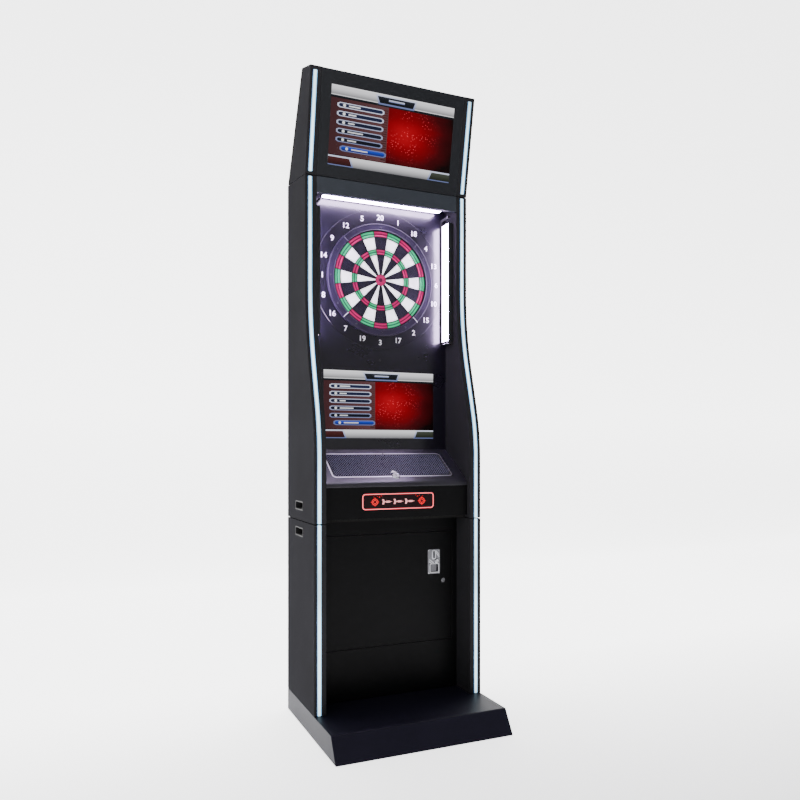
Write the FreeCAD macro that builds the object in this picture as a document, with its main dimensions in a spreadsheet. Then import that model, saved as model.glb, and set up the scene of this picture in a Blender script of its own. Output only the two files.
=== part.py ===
import FreeCAD, Part
import math
import operator
import os

import Sketcher

# A floor-standing electronic soft-tip dart machine. It is a steel and plywood cabinet in three pieces: a lower
# cabinet on a foot, with the coin door; an upper cabinet, with the target, the player's screen and the control
# shelf; and a head that leans forward and holds a second screen. +Z is up, the front faces -Y, and the origin
# is on the floor, at the middle of the foot.

VECTOR = FreeCAD.Vector
ACROSS_X = VECTOR(1, 0, 0)
ALONG_Y = VECTOR(0, 1, 0)
UPWARD = VECTOR(0, 0, 1)

# Driving dimensions in millimetres, and in degrees where the name says angle. A depth is a distance ahead of
# the cabinet's back plane.
DIMENSIONS = {
    "cabinet_width": 684,
    "side_thickness": 46,
    "back_plane": 303,
    "board_thickness": 18,
    "foot_height": 84,
    "foot_depth": 606,
    "foot_top_depth": 554,
    "foot_round": 8,
    "lower_depth": 364,
    "upper_depth": 248,
    "seam_height": 776,
    "seam_gap": 3,
    "top_front_height": 2078,
    "top_back_height": 2112.5,
    "curve_angle": 15.5,
    "upper_curve": 1150,
    "lower_curve": 700,
    "curve_start": 1015,
    "strip_width": 18,
    "strip_centre": 322,
    "strip_groove": 10,
    "strip_thickness": 7,
    "grip_depth": 34,
    "grip_length": 100,
    "grip_height": 30,
    "grip_centre": 170,
    "grip_upper": 833,
    "grip_lower": 733,
    "door_frame_depth": 250,
    "door_half_width": 274,
    "door_bottom": 280,
    "door_top": 718,
    "door_gap": 1.5,
    "knuckle_radius": 3.2,
    "hinge_pin_radius": 1.5,
    "running_gap": 0.05,
    "lock_across": 234,
    "lock_height": 519,
    "plate_across": 191.5,
    "plate_height": 597,
    "plate_width": 54,
    "plate_tall": 98,
    "reject_travel": 4,
    "apron_depth": 340,
    "apron_bottom": 788,
    "shelf_back_height": 1047,
    "shelf_angle": 33.77,
    "shelf_lip": 25,
    "shelf_thickness": 12,
    "overlay_half_width": 252,
    "overlay_back": 30,
    "overlay_front": 189,
    "overlay_round": 18,
    "overlay_rim": 5.5,
    "button_across": 4,
    "button_down": 183,
    "button_radius": 13,
    "sign_half_width": 149.5,
    "sign_bottom": 819,
    "sign_top": 882.5,
    "recess_depth": 150,
    "fascia_thickness": 12,
    "ceiling_height": 2041,
    "header_bottom": 2016.5,
    "target_height": 1730,
    "bull_inner": 8,
    "bull_outer": 22,
    "treble_inner": 102,
    "treble_outer": 123.5,
    "double_inner": 172,
    "double_outer": 197,
    "web_width": 2,
    "web_outer": 199,
    "ring_inner": 199.5,
    "ring_outer": 226.6,
    "ring_screws_radius": 212,
    "segment_gap": 0.2,
    "bull_gap": 0.3,
    "bull_travel": 1,
    "screen_half_width": 238.3,
    "screen_bottom": 1092,
    "screen_top": 1361,
    "camera_height": 1408,
    "camera_radius": 5,
    "bar_thickness": 15,
    "bar_front_depth": 215,
    "ceiling_bar_half": 252,
    "side_bar_reach": 22,
    "side_bar_front_depth": 221,
    "side_bar_bottom": 1485,
    "side_bar_top": 1977,
    "head_lean_angle": 10.64,
    "head_pivot_height": 2080.4,
    "head_face": 382,
    "head_top_run": 120,
    "head_top_rise": 398.7,
    "head_base_run": 246,
    "head_base_drop": 11,
    "head_screen_half_width": 256.5,
    "head_screen_bottom": 45.5,
    "head_screen_top": 331,
    "fan_half": 60,
    "fan_bore": 57,
    "fan_across": -150,
    "fan_height": 640,
    "inlet_across": 160,
    "inlet_height": 145,
    "rocker_radius": 10.5,
}


class Size:
    """A size held twice: as a number, and as the spreadsheet expression that gives it."""

    def __init__(self, value, text):
        self.value = value
        self.text = text

    def __add__(self, other):
        return combined(self, "+", other)

    def __radd__(self, other):
        return combined(other, "+", self)

    def __sub__(self, other):
        return combined(self, "-", other)

    def __rsub__(self, other):
        return combined(other, "-", self)

    def __mul__(self, other):
        return combined(self, "*", other)

    def __rmul__(self, other):
        return combined(other, "*", self)

    def __truediv__(self, other):
        return combined(self, "/", other)

    def __rtruediv__(self, other):
        return combined(other, "/", self)

    def __neg__(self):
        return combined(0, "-", self)


OPERATIONS = {"+": operator.add, "-": operator.sub, "*": operator.mul, "/": operator.truediv}


def as_size(amount):
    if isinstance(amount, Size):
        return amount
    return Size(float(amount), repr(float(amount)))


def combined(left, sign, right):
    left = as_size(left)
    right = as_size(right)
    return Size(OPERATIONS[sign](left.value, right.value), f"({left.text} {sign} {right.text})")


def sine(angle):
    angle = as_size(angle)
    return Size(math.sin(math.radians(angle.value)), f"sin({angle.text})")


def cosine(angle):
    angle = as_size(angle)
    return Size(math.cos(math.radians(angle.value)), f"cos({angle.text})")


def tangent(angle):
    return sine(angle) / cosine(angle)


def root(amount):
    return Size(math.sqrt(amount.value), f"sqrt({amount.text})")


class Sheet:
    """The driving dimensions, read as attributes."""

    def __init__(self, document):
        table = document.addObject("Spreadsheet::Sheet", "dims")
        for row, (alias, value) in enumerate(DIMENSIONS.items(), start=1):
            table.set(f"A{row}", alias)
            table.set(f"B{row}", str(value))
            table.setAlias(f"B{row}", alias)
        document.recompute()

    def __getattr__(self, alias):
        return Size(float(DIMENSIONS[alias]), f"dims.{alias}")


doc = FreeCAD.newDocument("dart_machine")
D = Sheet(doc)
nodes = {}


def bind(item, attribute, amount):
    item.setExpression(attribute, as_size(amount).text)


def node(label, item):
    """Marks a finished piece as a sub-part and gives it its name."""
    item.Label = label
    nodes[label] = item
    return item


def ahead(depth):
    """The Y of a plane that is the given depth ahead of the cabinet's back."""
    return D.back_plane - depth


# ---- sketches ------------------------------------------------------------------------------------------------


class Drawing:
    """A sketch in the making: its edges go in at once, and its constraints all together at the end."""

    def __init__(self, sketch):
        self.sketch = sketch
        self.constraints = []

    def add(self, edge):
        return self.sketch.addGeometry(edge)

    def hold(self, constraint, amount=None):
        self.constraints.append((constraint, amount))

    def hold_point(self, edge, end, point):
        """Fixes one end of an edge to its place in the sketch."""
        vertical_axis = -2
        horizontal_axis = -1
        for kind, axis, amount in zip(("DistanceX", "DistanceY"), (vertical_axis, horizontal_axis), point):
            if amount.value == 0:
                self.hold(Sketcher.Constraint("PointOnObject", edge, end, axis))
            else:
                self.hold(Sketcher.Constraint(kind, edge, end, amount.value), amount)

    def finish(self):
        indices = self.sketch.addConstraint([constraint for constraint, _ in self.constraints])
        for index, (_, amount) in zip(indices, self.constraints):
            if amount is not None:
                bind(self.sketch, f"Constraints[{index}]", amount)


class Circle:
    def __init__(self, across, up, radius):
        self.centre = (as_size(across), as_size(up))
        self.radius = as_size(radius)

    def draw(self, drawing):
        middle = VECTOR(self.centre[0].value, self.centre[1].value, 0)
        edge = drawing.add(Part.Circle(middle, UPWARD, self.radius.value))
        drawing.hold_point(edge, 3, self.centre)
        drawing.hold(Sketcher.Constraint("Radius", edge, self.radius.value), self.radius)


class Corner:
    """A corner of an outline. The edge that starts here is straight, or an arc that turns left (+1) or right (-1)."""

    def __init__(self, across, up, radius=None, turn=0):
        self.point = (as_size(across), as_size(up))
        self.radius = None if radius is None else as_size(radius)
        self.turn = turn

    def place(self):
        return VECTOR(self.point[0].value, self.point[1].value, 0)


def arc_between(start, end, radius, turn):
    """The shorter arc from start to end, to the left (+1) or right (-1)."""
    chord = end - start
    left = VECTOR(-chord.y, chord.x, 0).normalize()
    reach = math.sqrt(radius ** 2 - (chord.Length / 2) ** 2)
    centre = start + chord * 0.5 + left * (turn * reach)
    angles = [math.atan2(point.y - centre.y, point.x - centre.x) for point in (start, end)]
    if turn < 0:
        angles.reverse()
    if angles[1] < angles[0]:
        angles[1] += 2 * math.pi
    return Part.ArcOfCircle(Part.Circle(centre, UPWARD, radius), angles[0], angles[1])


class Loop:
    """A closed outline through its corners."""

    def __init__(self, corners):
        self.corners = corners

    def draw(self, drawing):
        following = self.corners[1:] + self.corners[:1]
        ends = []
        for corner, after in zip(self.corners, following):
            if corner.radius is None:
                edge = drawing.add(Part.LineSegment(corner.place(), after.place()))
            else:
                arc = arc_between(corner.place(), after.place(), corner.radius.value, corner.turn)
                edge = drawing.add(arc)
                drawing.hold(Sketcher.Constraint("Radius", edge, corner.radius.value), corner.radius)
            first, last = (2, 1) if corner.turn < 0 else (1, 2)
            ends.append((edge, first, last))
        for (edge, first, _), (before, _, before_last), corner in zip(ends, ends[-1:] + ends[:-1], self.corners):
            drawing.hold(Sketcher.Constraint("Coincident", before, before_last, edge, first))
            drawing.hold_point(edge, first, corner.point)


def polygon(*points):
    return Loop([Corner(across, up) for across, up in points])


def rectangle(low_across, low_up, high_across, high_up):
    return polygon((low_across, low_up), (high_across, low_up), (high_across, high_up), (low_across, high_up))


def rounded(low_across, low_up, high_across, high_up, radius):
    """A rectangle with its four corners rounded."""
    return Loop([
        Corner(low_across + radius, low_up),
        Corner(high_across - radius, low_up, radius, 1),
        Corner(high_across, low_up + radius),
        Corner(high_across, high_up - radius, radius, 1),
        Corner(high_across - radius, high_up),
        Corner(low_across + radius, high_up, radius, 1),
        Corner(low_across, high_up - radius),
        Corner(low_across, low_up + radius, radius, 1),
    ])


def backwards(corners):
    """The same run of corners, walked the other way."""
    turned = []
    for index in range(len(corners) - 1, -1, -1):
        corner = corners[index]
        edge = corners[index - 1] if index else None
        curved = edge is not None and edge.radius is not None
        radius = edge.radius if curved else None
        turned.append(Corner(corner.point[0], corner.point[1], radius, -edge.turn if curved else 0))
    return turned


# ---- bodies --------------------------------------------------------------------------------------------------


def origin_feature(body, role):
    return next(feature for feature in body.Origin.OriginFeatures if feature.Role == role)


def new_body(label):
    body = doc.addObject("PartDesign::Body", label + "_body")
    body.AllowCompound = True
    return body


def extruded(body, kind, plane, low, high, outlines):
    """Pads or pockets the outlines between two planes across the third axis."""
    sketch = body.newObject("Sketcher::SketchObject", f"{body.Name}_{kind}_sketch")
    sketch.AttachmentSupport = (origin_feature(body, plane), [""])
    sketch.MapMode = "FlatFace"
    normal_points_back = plane == "XZ_Plane"
    bind(sketch, "AttachmentOffset.Base.z", -as_size(high) if normal_points_back else low)
    drawing = Drawing(sketch)
    for outline in outlines:
        outline.draw(drawing)
    drawing.finish()
    feature = body.newObject(f"PartDesign::{kind}", f"{body.Name}_{kind}")
    feature.Profile = sketch
    bind(feature, "Length", as_size(high) - low)
    if kind == "Pocket":
        feature.Reversed = True
    sketch.Visibility = False
    return feature


def pad(body, plane, low, high, outlines):
    return extruded(body, "Pad", plane, low, high, outlines)


def pocket(body, plane, low, high, outlines):
    return extruded(body, "Pocket", plane, low, high, outlines)


def plate(label, plane, low, high, outlines):
    """A piece cut from sheet: one padded sketch, holes included."""
    body = new_body(label)
    pad(body, plane, low, high, outlines)
    return body


def ring_pattern(body, feature, count):
    """Repeats a feature round the body's own Y axis."""
    pattern = body.newObject("PartDesign::PolarPattern", f"{body.Name}_pattern")
    pattern.Originals = [feature]
    pattern.Axis = (origin_feature(body, "Y_Axis"), [""])
    pattern.Angle = 360
    pattern.Occurrences = count
    body.Tip = pattern
    return pattern


def stand(item, base, axis=UPWARD, angle=None):
    """Puts a piece's own origin at base, turned about an axis."""
    if angle is not None:
        angle = as_size(angle)
        item.Placement = FreeCAD.Placement(VECTOR(), FreeCAD.Rotation(axis, angle.value))
        bind(item, "Placement.Rotation.Angle", angle)
    for name, amount in zip("xyz", base):
        bind(item, f"Placement.Base.{name}", amount)
    return item


# ---- primitives and booleans ---------------------------------------------------------------------------------


def block(name, low, high):
    box = doc.addObject("Part::Box", name)
    for attribute, first, last in zip(("Length", "Width", "Height"), low, high):
        bind(box, attribute, as_size(last) - first)
    return stand(box, low)


def rod(name, axis, start, radius, length):
    """A cylinder that runs from start along +X, +Y or +Z."""
    cylinder = doc.addObject("Part::Cylinder", name)
    turns = {"X": (ALONG_Y, 90), "Y": (ACROSS_X, -90), "Z": (UPWARD, 0)}
    cylinder.Placement = FreeCAD.Placement(VECTOR(), FreeCAD.Rotation(*turns[axis]))
    bind(cylinder, "Radius", radius)
    bind(cylinder, "Height", length)
    return stand(cylinder, start)


def together(name, items):
    group = doc.addObject("Part::Compound", name)
    group.Links = items
    return group


def fused(name, items):
    union = doc.addObject("Part::MultiFuse", name)
    union.Shapes = items
    return union


def without(name, base, tools):
    result = doc.addObject("Part::Cut", name)
    result.Base = base
    result.Tool = tools[0] if len(tools) == 1 else together(name + "_tools", tools)
    return result


# ---- shared planes -------------------------------------------------------------------------------------------

half_width = D.cabinet_width / 2
inner_half = half_width - D.side_thickness
back = D.back_plane
back_inside = back - D.board_thickness
lower_front = ahead(D.lower_depth)
upper_front = ahead(D.upper_depth)
lower_top = D.seam_height - D.seam_gap / 2
upper_bottom = D.seam_height + D.seam_gap / 2
door_front = ahead(D.door_frame_depth)
door_back = door_front + D.board_thickness
apron_front = ahead(D.apron_depth)
recess_back = ahead(D.recess_depth)
fascia_back = recess_back + D.fascia_thickness


def side_spans():
    """The two side panels: name, outer face's side, and the X between which each lies."""
    return (("left", -1, -half_width, -inner_half), ("right", 1, inner_half, half_width))


def strip_span(side):
    """The X between which a side's light strip lies."""
    centre = D.strip_centre * side
    return centre - D.strip_width / 2, centre + D.strip_width / 2


# ---- foot and lower cabinet ----------------------------------------------------------------------------------


def foot_plinth():
    body = new_body("foot_plinth")
    outline = polygon(
        (back, 0),
        (back, D.foot_height),
        (ahead(D.foot_top_depth), D.foot_height),
        (ahead(D.foot_depth), 0),
    )
    pad(body, "YZ_Plane", -half_width, half_width, [outline])
    wall = D.board_thickness
    hollow = rectangle(
        wall - half_width, ahead(D.foot_top_depth) + wall, half_width - wall, back - wall,
    )
    pocket(body, "XY_Plane", 0, D.foot_height - wall, [hollow])
    doc.recompute()
    sharp = body.Tip
    edge_y = ahead(D.foot_top_depth).value
    names = [
        f"Edge{index}"
        for index, edge in enumerate(body.Shape.Edges, start=1)
        if abs(edge.CenterOfMass.y - edge_y) < 0.01 and abs(edge.CenterOfMass.z - D.foot_height.value) < 0.01
    ]
    rounding = body.newObject("PartDesign::Fillet", "foot_plinth_round")
    rounding.Base = (sharp, names)
    bind(rounding, "Radius", D.foot_round)
    body.Tip = rounding
    node("foot_plinth", body)


def grip_outline(height):
    middle = ahead(D.grip_centre)
    half_length = D.grip_length / 2
    half_height = D.grip_height / 2
    return rounded(middle - half_length, height - half_height, middle + half_length, height + half_height, 6)


def grip_pocket(body, side, height):
    """A finger slot in a side panel's outer face."""
    low = -half_width if side < 0 else half_width - D.grip_depth
    pocket(body, "YZ_Plane", low, low + D.grip_depth, [grip_outline(height)])


def lower_sides():
    for name, side, low, high in side_spans():
        body = plate(
            f"lower_side_{name}", "YZ_Plane", low, high,
            [rectangle(lower_front, D.foot_height, back, lower_top)],
        )
        groove = rectangle(lower_front - 1, D.foot_height, lower_front + D.strip_groove, lower_top)
        pocket(body, "YZ_Plane", *strip_span(side), [groove])
        grip_pocket(body, side, D.grip_lower)
        node(f"lower_side_{name}", body)


def vents(body, plane, low, high, centre, bottom, count, pitch, width, height):
    """A stack of round-ended slots cut between two planes, the lowest one's edge at bottom."""
    slot = rounded(centre - width / 2, bottom, centre + width / 2, bottom + height, height * 0.45)
    first = pocket(body, plane, low, high, [slot])
    stack = body.newObject("PartDesign::LinearPattern", f"{body.Name}_stack")
    stack.Originals = [first]
    stack.Direction = (origin_feature(body, "Z_Axis"), [""])
    stack.Length = pitch * (count - 1)
    stack.Occurrences = count
    body.Tip = stack


def lower_back_panel():
    inlet_half_width = 30
    inlet_half_height = 15
    outlines = [
        rectangle(-inner_half, D.foot_height, inner_half, lower_top),
        Circle(D.fan_across, D.fan_height, D.fan_bore),
        rectangle(
            D.inlet_across - inlet_half_width, D.inlet_height - inlet_half_height,
            D.inlet_across + inlet_half_width, D.inlet_height + inlet_half_height,
        ),
    ]
    body = plate("lower_back_panel", "XZ_Plane", back_inside, back, outlines)
    vents(body, "XZ_Plane", back_inside, back, as_size(120), as_size(590), 6, 18, 150, 7)
    node("lower_back_panel", body)


def lower_front_frame():
    outlines = [
        rectangle(-inner_half, D.foot_height, inner_half, lower_top),
        rectangle(-D.door_half_width, D.door_bottom, D.door_half_width, D.door_top),
    ]
    node("lower_front_frame", plate("lower_front_frame", "XZ_Plane", door_front, door_back, outlines))


# ---- coin door, its hinge and its lock -----------------------------------------------------------------------

door_edge = D.door_half_width - D.door_gap
hinge_x = -D.door_half_width + D.door_gap / 2
hinge_y = door_front - D.knuckle_radius
lock_barrel = 7.5
lock_plug_radius = 5


def coin_door():
    cutout_margin = 4
    half = D.plate_width / 2 - cutout_margin
    tall = D.plate_tall / 2 - cutout_margin
    outlines = [
        rectangle(-door_edge, D.door_bottom + D.door_gap, door_edge, D.door_top - D.door_gap),
        rectangle(D.plate_across - half, D.plate_height - tall, D.plate_across + half, D.plate_height + tall),
        Circle(D.lock_across, D.lock_height, lock_barrel + 0.1),
    ]
    node("coin_door", plate("coin_door", "XZ_Plane", door_front, door_back, outlines))


def door_hinge():
    """A continuous hinge: two leaves on the door's and the frame's faces, with knuckles in turn on one pin."""
    knuckle_count = 9
    end_margin = 12
    leaf_width = 15
    leaf_thickness = 1.2
    knuckle_gap = 0.5
    bottom = D.door_bottom + end_margin
    pitch = (D.door_top - D.door_bottom - 2 * end_margin) / knuckle_count
    top = bottom + pitch * knuckle_count
    clear = D.knuckle_radius + 0.6
    leaf_planes = {
        "frame": (hinge_x - clear - leaf_width, hinge_x - clear, hinge_x - clear, hinge_x),
        "door": (hinge_x + clear, hinge_x + clear + leaf_width, hinge_x, hinge_x + clear),
    }
    for order, (owner, (low, high, tab_low, tab_high)) in enumerate(leaf_planes.items()):
        name = f"hinge_leaf_{owner}"
        pieces = [block(f"{name}_plate", (low, door_front - leaf_thickness, bottom), (high, door_front, top))]
        for index in range(order, knuckle_count, 2):
            low_z = bottom + pitch * index + knuckle_gap
            high_z = bottom + pitch * (index + 1) - knuckle_gap
            pieces.append(block(
                f"{name}_tab_{index}", (tab_low, door_front - leaf_thickness, low_z), (tab_high, door_front, high_z),
            ))
            pieces.append(rod(
                f"{name}_knuckle_{index}", "Z", (hinge_x, hinge_y, low_z), D.knuckle_radius, high_z - low_z,
            ))
        bore = rod(
            f"{name}_bore", "Z", (hinge_x, hinge_y, bottom - 1), D.hinge_pin_radius + D.running_gap, top - bottom + 2,
        )
        node(name, without(f"{name}_cut", fused(f"{name}_blank", pieces), [bore]))
    node("hinge_pin", rod("hinge_pin_rod", "Z", (hinge_x, hinge_y, bottom), D.hinge_pin_radius, top - bottom))


def door_lock():
    """A cam lock: the body stays in the door, and the plug turns the cam behind the frame."""
    flange_radius = 9
    flange = 1.6
    barrel_end = door_back + 1.3
    centre = (D.lock_across, D.lock_height)
    bore = lock_plug_radius + D.running_gap
    lock = new_body("lock_body")
    pad(lock, "XZ_Plane", door_front - flange, door_front, [Circle(*centre, flange_radius), Circle(*centre, bore)])
    pad(lock, "XZ_Plane", door_front, barrel_end, [Circle(*centre, lock_barrel), Circle(*centre, bore)])
    node("lock_body", lock)

    cam_length = 46
    cam_half_width = 7
    cam_thickness = 2.5
    cam_front = barrel_end + 0.4
    face = door_front - flange - 0.6
    plug = new_body("lock_plug")
    pad(plug, "XZ_Plane", face, cam_front, [Circle(*centre, lock_plug_radius)])
    cam = Loop([
        Corner(centre[0] - cam_half_width, centre[1] - cam_length + cam_half_width, cam_half_width * 1.001, 1),
        Corner(centre[0] + cam_half_width, centre[1] - cam_length + cam_half_width),
        Corner(centre[0] + cam_half_width, centre[1], cam_half_width * 1.001, 1),
        Corner(centre[0] - cam_half_width, centre[1]),
    ])
    pad(plug, "XZ_Plane", cam_front, cam_front + cam_thickness, [cam])
    key_slot = rectangle(centre[0] - 0.9, centre[1] - 3.6, centre[0] + 0.9, centre[1] + 3.6)
    pocket(plug, "XZ_Plane", face - 1, face + 8, [key_slot])
    node("lock_plug", plug)


# ---- coin mechanism ------------------------------------------------------------------------------------------

plate_thickness = 3
coin_slot = (D.plate_across - 3.3, D.plate_height + 15, D.plate_across + 1.3, D.plate_height + 41)
reject_centre = (D.plate_across + 12, D.plate_height + 3)
reject_radius = 6.5
cup = (D.plate_across - 18, D.plate_height - 42, D.plate_across + 18, D.plate_height - 10)
flap_pin_radius = 1.2
flap_pivot = (door_front + 4, cup[3] - 3)


def coin_plate():
    half = D.plate_width / 2
    tall = D.plate_tall / 2
    outlines = [
        rounded(D.plate_across - half, D.plate_height - tall, D.plate_across + half, D.plate_height + tall, 5),
        rectangle(*coin_slot),
        Circle(*reject_centre, reject_radius + D.bull_gap),
        rounded(*cup, 4),
    ]
    body = plate("coin_plate", "XZ_Plane", door_front - plate_thickness, door_front, outlines)
    node("coin_plate", body)


def coin_mech():
    """The selector behind the plate, with a chute behind the slot and a cup behind the return flap."""
    half = D.plate_width / 2 - 5
    tall = D.plate_tall / 2 - 5
    mech_back = door_front + 62
    body = new_body("coin_mech")
    shell = rectangle(D.plate_across - half, D.plate_height - tall, D.plate_across + half, D.plate_height + tall)
    pad(body, "XZ_Plane", door_front, mech_back, [shell])
    pocket(body, "XZ_Plane", door_front, mech_back - 6, [rectangle(*coin_slot)])
    pocket(body, "XZ_Plane", door_front, door_front + 34, [rounded(*cup, 4)])
    pocket(body, "XZ_Plane", door_front, door_front + 16, [Circle(*reject_centre, reject_radius + D.bull_gap)])
    pin_room = Circle(*flap_pivot, flap_pin_radius + D.running_gap)
    pocket(body, "YZ_Plane", cup[0] - 1.6, cup[2] + 1.6, [pin_room])
    node("coin_mech", body)


def reject_button():
    front = door_front - plate_thickness - 7
    body = plate("reject_button", "XZ_Plane", front, door_front + 10, [Circle(*reject_centre, reject_radius)])
    pocket(body, "XZ_Plane", front, front + 1.2, [Circle(*reject_centre, reject_radius - 2)])
    node("reject_button", body)


def return_flap():
    side_gap = 1.5
    body = new_body("return_flap")
    leaf = rectangle(flap_pivot[0] - 0.8, cup[1] + 1.5, flap_pivot[0] + 0.8, flap_pivot[1])
    pad(body, "YZ_Plane", cup[0] + side_gap, cup[2] - side_gap, [leaf])
    pad(body, "YZ_Plane", cup[0] - 1.4, cup[2] + 1.4, [Circle(*flap_pivot, flap_pin_radius)])
    node("return_flap", body)


# ---- what the lower cabinet holds ----------------------------------------------------------------------------


def cash_box():
    wall = 1.5
    low_x = D.plate_across - 75
    high_x = D.plate_across + 75
    low_y = door_back + 20
    high_y = low_y + 150
    body = plate("cash_box", "XY_Plane", D.foot_height, D.foot_height + 130, [rectangle(low_x, low_y, high_x, high_y)])
    inside = rectangle(low_x + wall, low_y + wall, high_x - wall, high_y - wall)
    pocket(body, "XY_Plane", D.foot_height + wall, D.foot_height + 130, [inside])
    node("cash_box", body)


def power_supply():
    low_x = as_size(-140)
    high_x = as_size(20)
    body = plate("power_supply", "XZ_Plane", back_inside - 110, back_inside - 10,
                 [rectangle(low_x, D.foot_height, high_x, D.foot_height + 62)])
    pocket(body, "XY_Plane", D.foot_height + 58, D.foot_height + 62, [Circle(-60, back_inside - 60, 36)])
    node("power_supply", body)


def game_computer():
    low_y = back_inside - 200
    high_y = back_inside - 10
    tower = rectangle(low_y, D.foot_height, high_y, D.foot_height + 250)
    body = plate("game_computer", "YZ_Plane", -280, -180, [tower])
    vents(body, "YZ_Plane", -182, -180, (low_y + high_y) / 2, D.foot_height + 60, 8, 14, 120, 6)
    node("game_computer", body)


def power_inlet():
    """The mains inlet and the window of the rocker switch, set in a little behind the back panel's face."""
    half_across = 29.7
    half_up = 14.7
    face = back - 5
    body = new_body("power_inlet")
    centre = (D.inlet_across, D.inlet_height)
    shell = rectangle(centre[0] - half_across, centre[1] - half_up, centre[0] + half_across, centre[1] + half_up)
    pad(body, "XZ_Plane", face - 30, face, [shell])
    socket = rounded(centre[0] - 24, centre[1] - 9, centre[0] + 2, centre[1] + 9, 3)
    pocket(body, "XZ_Plane", face - 17, face, [socket])
    window = rectangle(centre[0] + 8, centre[1] - 11, centre[0] + 25, centre[1] + 11)
    pocket(body, "XZ_Plane", face - 22, face, [window])
    blades = [
        rectangle(centre[0] - 11 + offset - 1, centre[1] + rise - 2, centre[0] - 11 + offset + 1, centre[1] + rise + 2)
        for offset, rise in ((-7, -2), (0, 3), (7, -2))
    ]
    pad(body, "XZ_Plane", face - 17, face - 6, blades)
    node("power_inlet", body)

    pivot = (face - 6, D.inlet_height)
    edge_run = 6
    edge_rise = root(D.rocker_radius * D.rocker_radius - edge_run * edge_run)
    profile = Loop([
        Corner(pivot[0] + edge_run, pivot[1] - edge_rise),
        Corner(pivot[0] + edge_run - 2, pivot[1]),
        Corner(pivot[0] + edge_run, pivot[1] + edge_rise, D.rocker_radius, 1),
        Corner(pivot[0] - D.rocker_radius, pivot[1], D.rocker_radius, 1),
    ])
    rocker = plate("power_rocker", "YZ_Plane", centre[0] + 8.4, centre[0] + 24.6, [profile])
    node("power_rocker", rocker)


def exhaust_fan():
    """A boxed axial fan on the inside of the lower back panel, with its finger guard in the panel's opening."""
    depth = 25
    front = back_inside - depth
    centre = (D.fan_across, D.fan_height)
    screw_reach = 52.5
    screws = [Circle(centre[0] + x * screw_reach, centre[1] + z * screw_reach, 2.2) for x in (-1, 1) for z in (-1, 1)]
    square = rounded(centre[0] - D.fan_half, centre[1] - D.fan_half, centre[0] + D.fan_half, centre[1] + D.fan_half, 6)
    frame = plate("fan_frame", "XZ_Plane", front, back_inside, [square, Circle(*centre, D.fan_bore)] + screws)
    strut = 4
    reach = D.fan_bore + 1
    bars = [
        block("fan_strut_across", (centre[0] - reach, front, centre[1] - strut),
              (centre[0] + reach, front + 3, centre[1] + strut)),
        block("fan_strut_up", (centre[0] - strut, front, centre[1] - reach),
              (centre[0] + strut, front + 3, centre[1] + reach)),
        rod("fan_motor", "Y", (centre[0], front, centre[1]), 20, 6),
    ]
    shaft = 2
    bore = rod("fan_shaft_bore", "Y", (centre[0], front - 1, centre[1]), shaft + D.running_gap, 8)
    node("fan_frame", without("fan_frame_cut", fused("fan_frame_blank", [frame] + bars), [bore]))

    hub = rod("fan_hub", "Y", (centre[0], front + 7, centre[1]), 20, 15)
    pieces = [hub, rod("fan_shaft", "Y", (centre[0], front + 0.5, centre[1]), shaft, 8)]
    blade_count = 7
    pitch_angle = 38
    for index in range(blade_count):
        blade = block(f"fan_blade_{index}", (0, 0, 0), (15, 1.6, 36))
        spin = FreeCAD.Rotation(ALONG_Y, 360 * index / blade_count)
        twist = FreeCAD.Rotation(UPWARD, pitch_angle)
        turn = spin.multiply(twist)
        corner = turn.multVec(VECTOR(-7.5, -0.8, 18))
        blade.setExpression("Placement", None)
        for name in "xyz":
            blade.setExpression(f"Placement.Base.{name}", None)
        middle = VECTOR(centre[0].value, front.value + 14.5, centre[1].value)
        blade.Placement = FreeCAD.Placement(middle + corner, turn)
        pieces.append(blade)
    node("fan_rotor", fused("fan_rotor_union", pieces))

    wire = 2.2
    low = back - 5
    rings = []
    for index, radius in enumerate((14, 28, 42, 55.6)):
        outer = rod(f"guard_outer_{index}", "Y", (centre[0], low, centre[1]), radius + wire / 2, wire)
        inner = rod(f"guard_inner_{index}", "Y", (centre[0], low - 1, centre[1]), radius - wire / 2, wire + 2)
        rings.append(without(f"guard_ring_{index}", outer, [inner]))
    reach = 56
    bars = [
        block("guard_bar_across", (centre[0] - reach, low, centre[1] - wire / 2),
              (centre[0] + reach, low + wire, centre[1] + wire / 2)),
        block("guard_bar_up", (centre[0] - wire / 2, low, centre[1] - reach),
              (centre[0] + wire / 2, low + wire, centre[1] + reach)),
    ]
    node("fan_guard", fused("fan_guard_union", rings + bars))


# ---- upper cabinet -------------------------------------------------------------------------------------------

slope_sine = sine(D.curve_angle)
slope_cosine = cosine(D.curve_angle)
slope_run = (upper_front - lower_front) - (D.lower_curve + D.upper_curve) * (1 - slope_cosine)
curve_end = D.curve_start + (D.lower_curve + D.upper_curve) * slope_sine + slope_run / tangent(D.curve_angle)


def front_curve(inset, bottom, top):
    """The side panels' S-shaped front edge, from bottom to top, moved back from the face by inset."""
    lower_centre = lower_front + D.lower_curve
    upper_centre = upper_front - D.upper_curve
    lower_radius = D.lower_curve - inset
    upper_radius = D.upper_curve + inset
    return [
        Corner(lower_front + inset, bottom),
        Corner(lower_front + inset, D.curve_start, lower_radius, -1),
        Corner(lower_centre - lower_radius * slope_cosine, D.curve_start + lower_radius * slope_sine),
        Corner(upper_centre + upper_radius * slope_cosine, curve_end - upper_radius * slope_sine, upper_radius, 1),
        Corner(upper_front + inset, curve_end),
        Corner(upper_front + inset, top),
    ]


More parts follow.
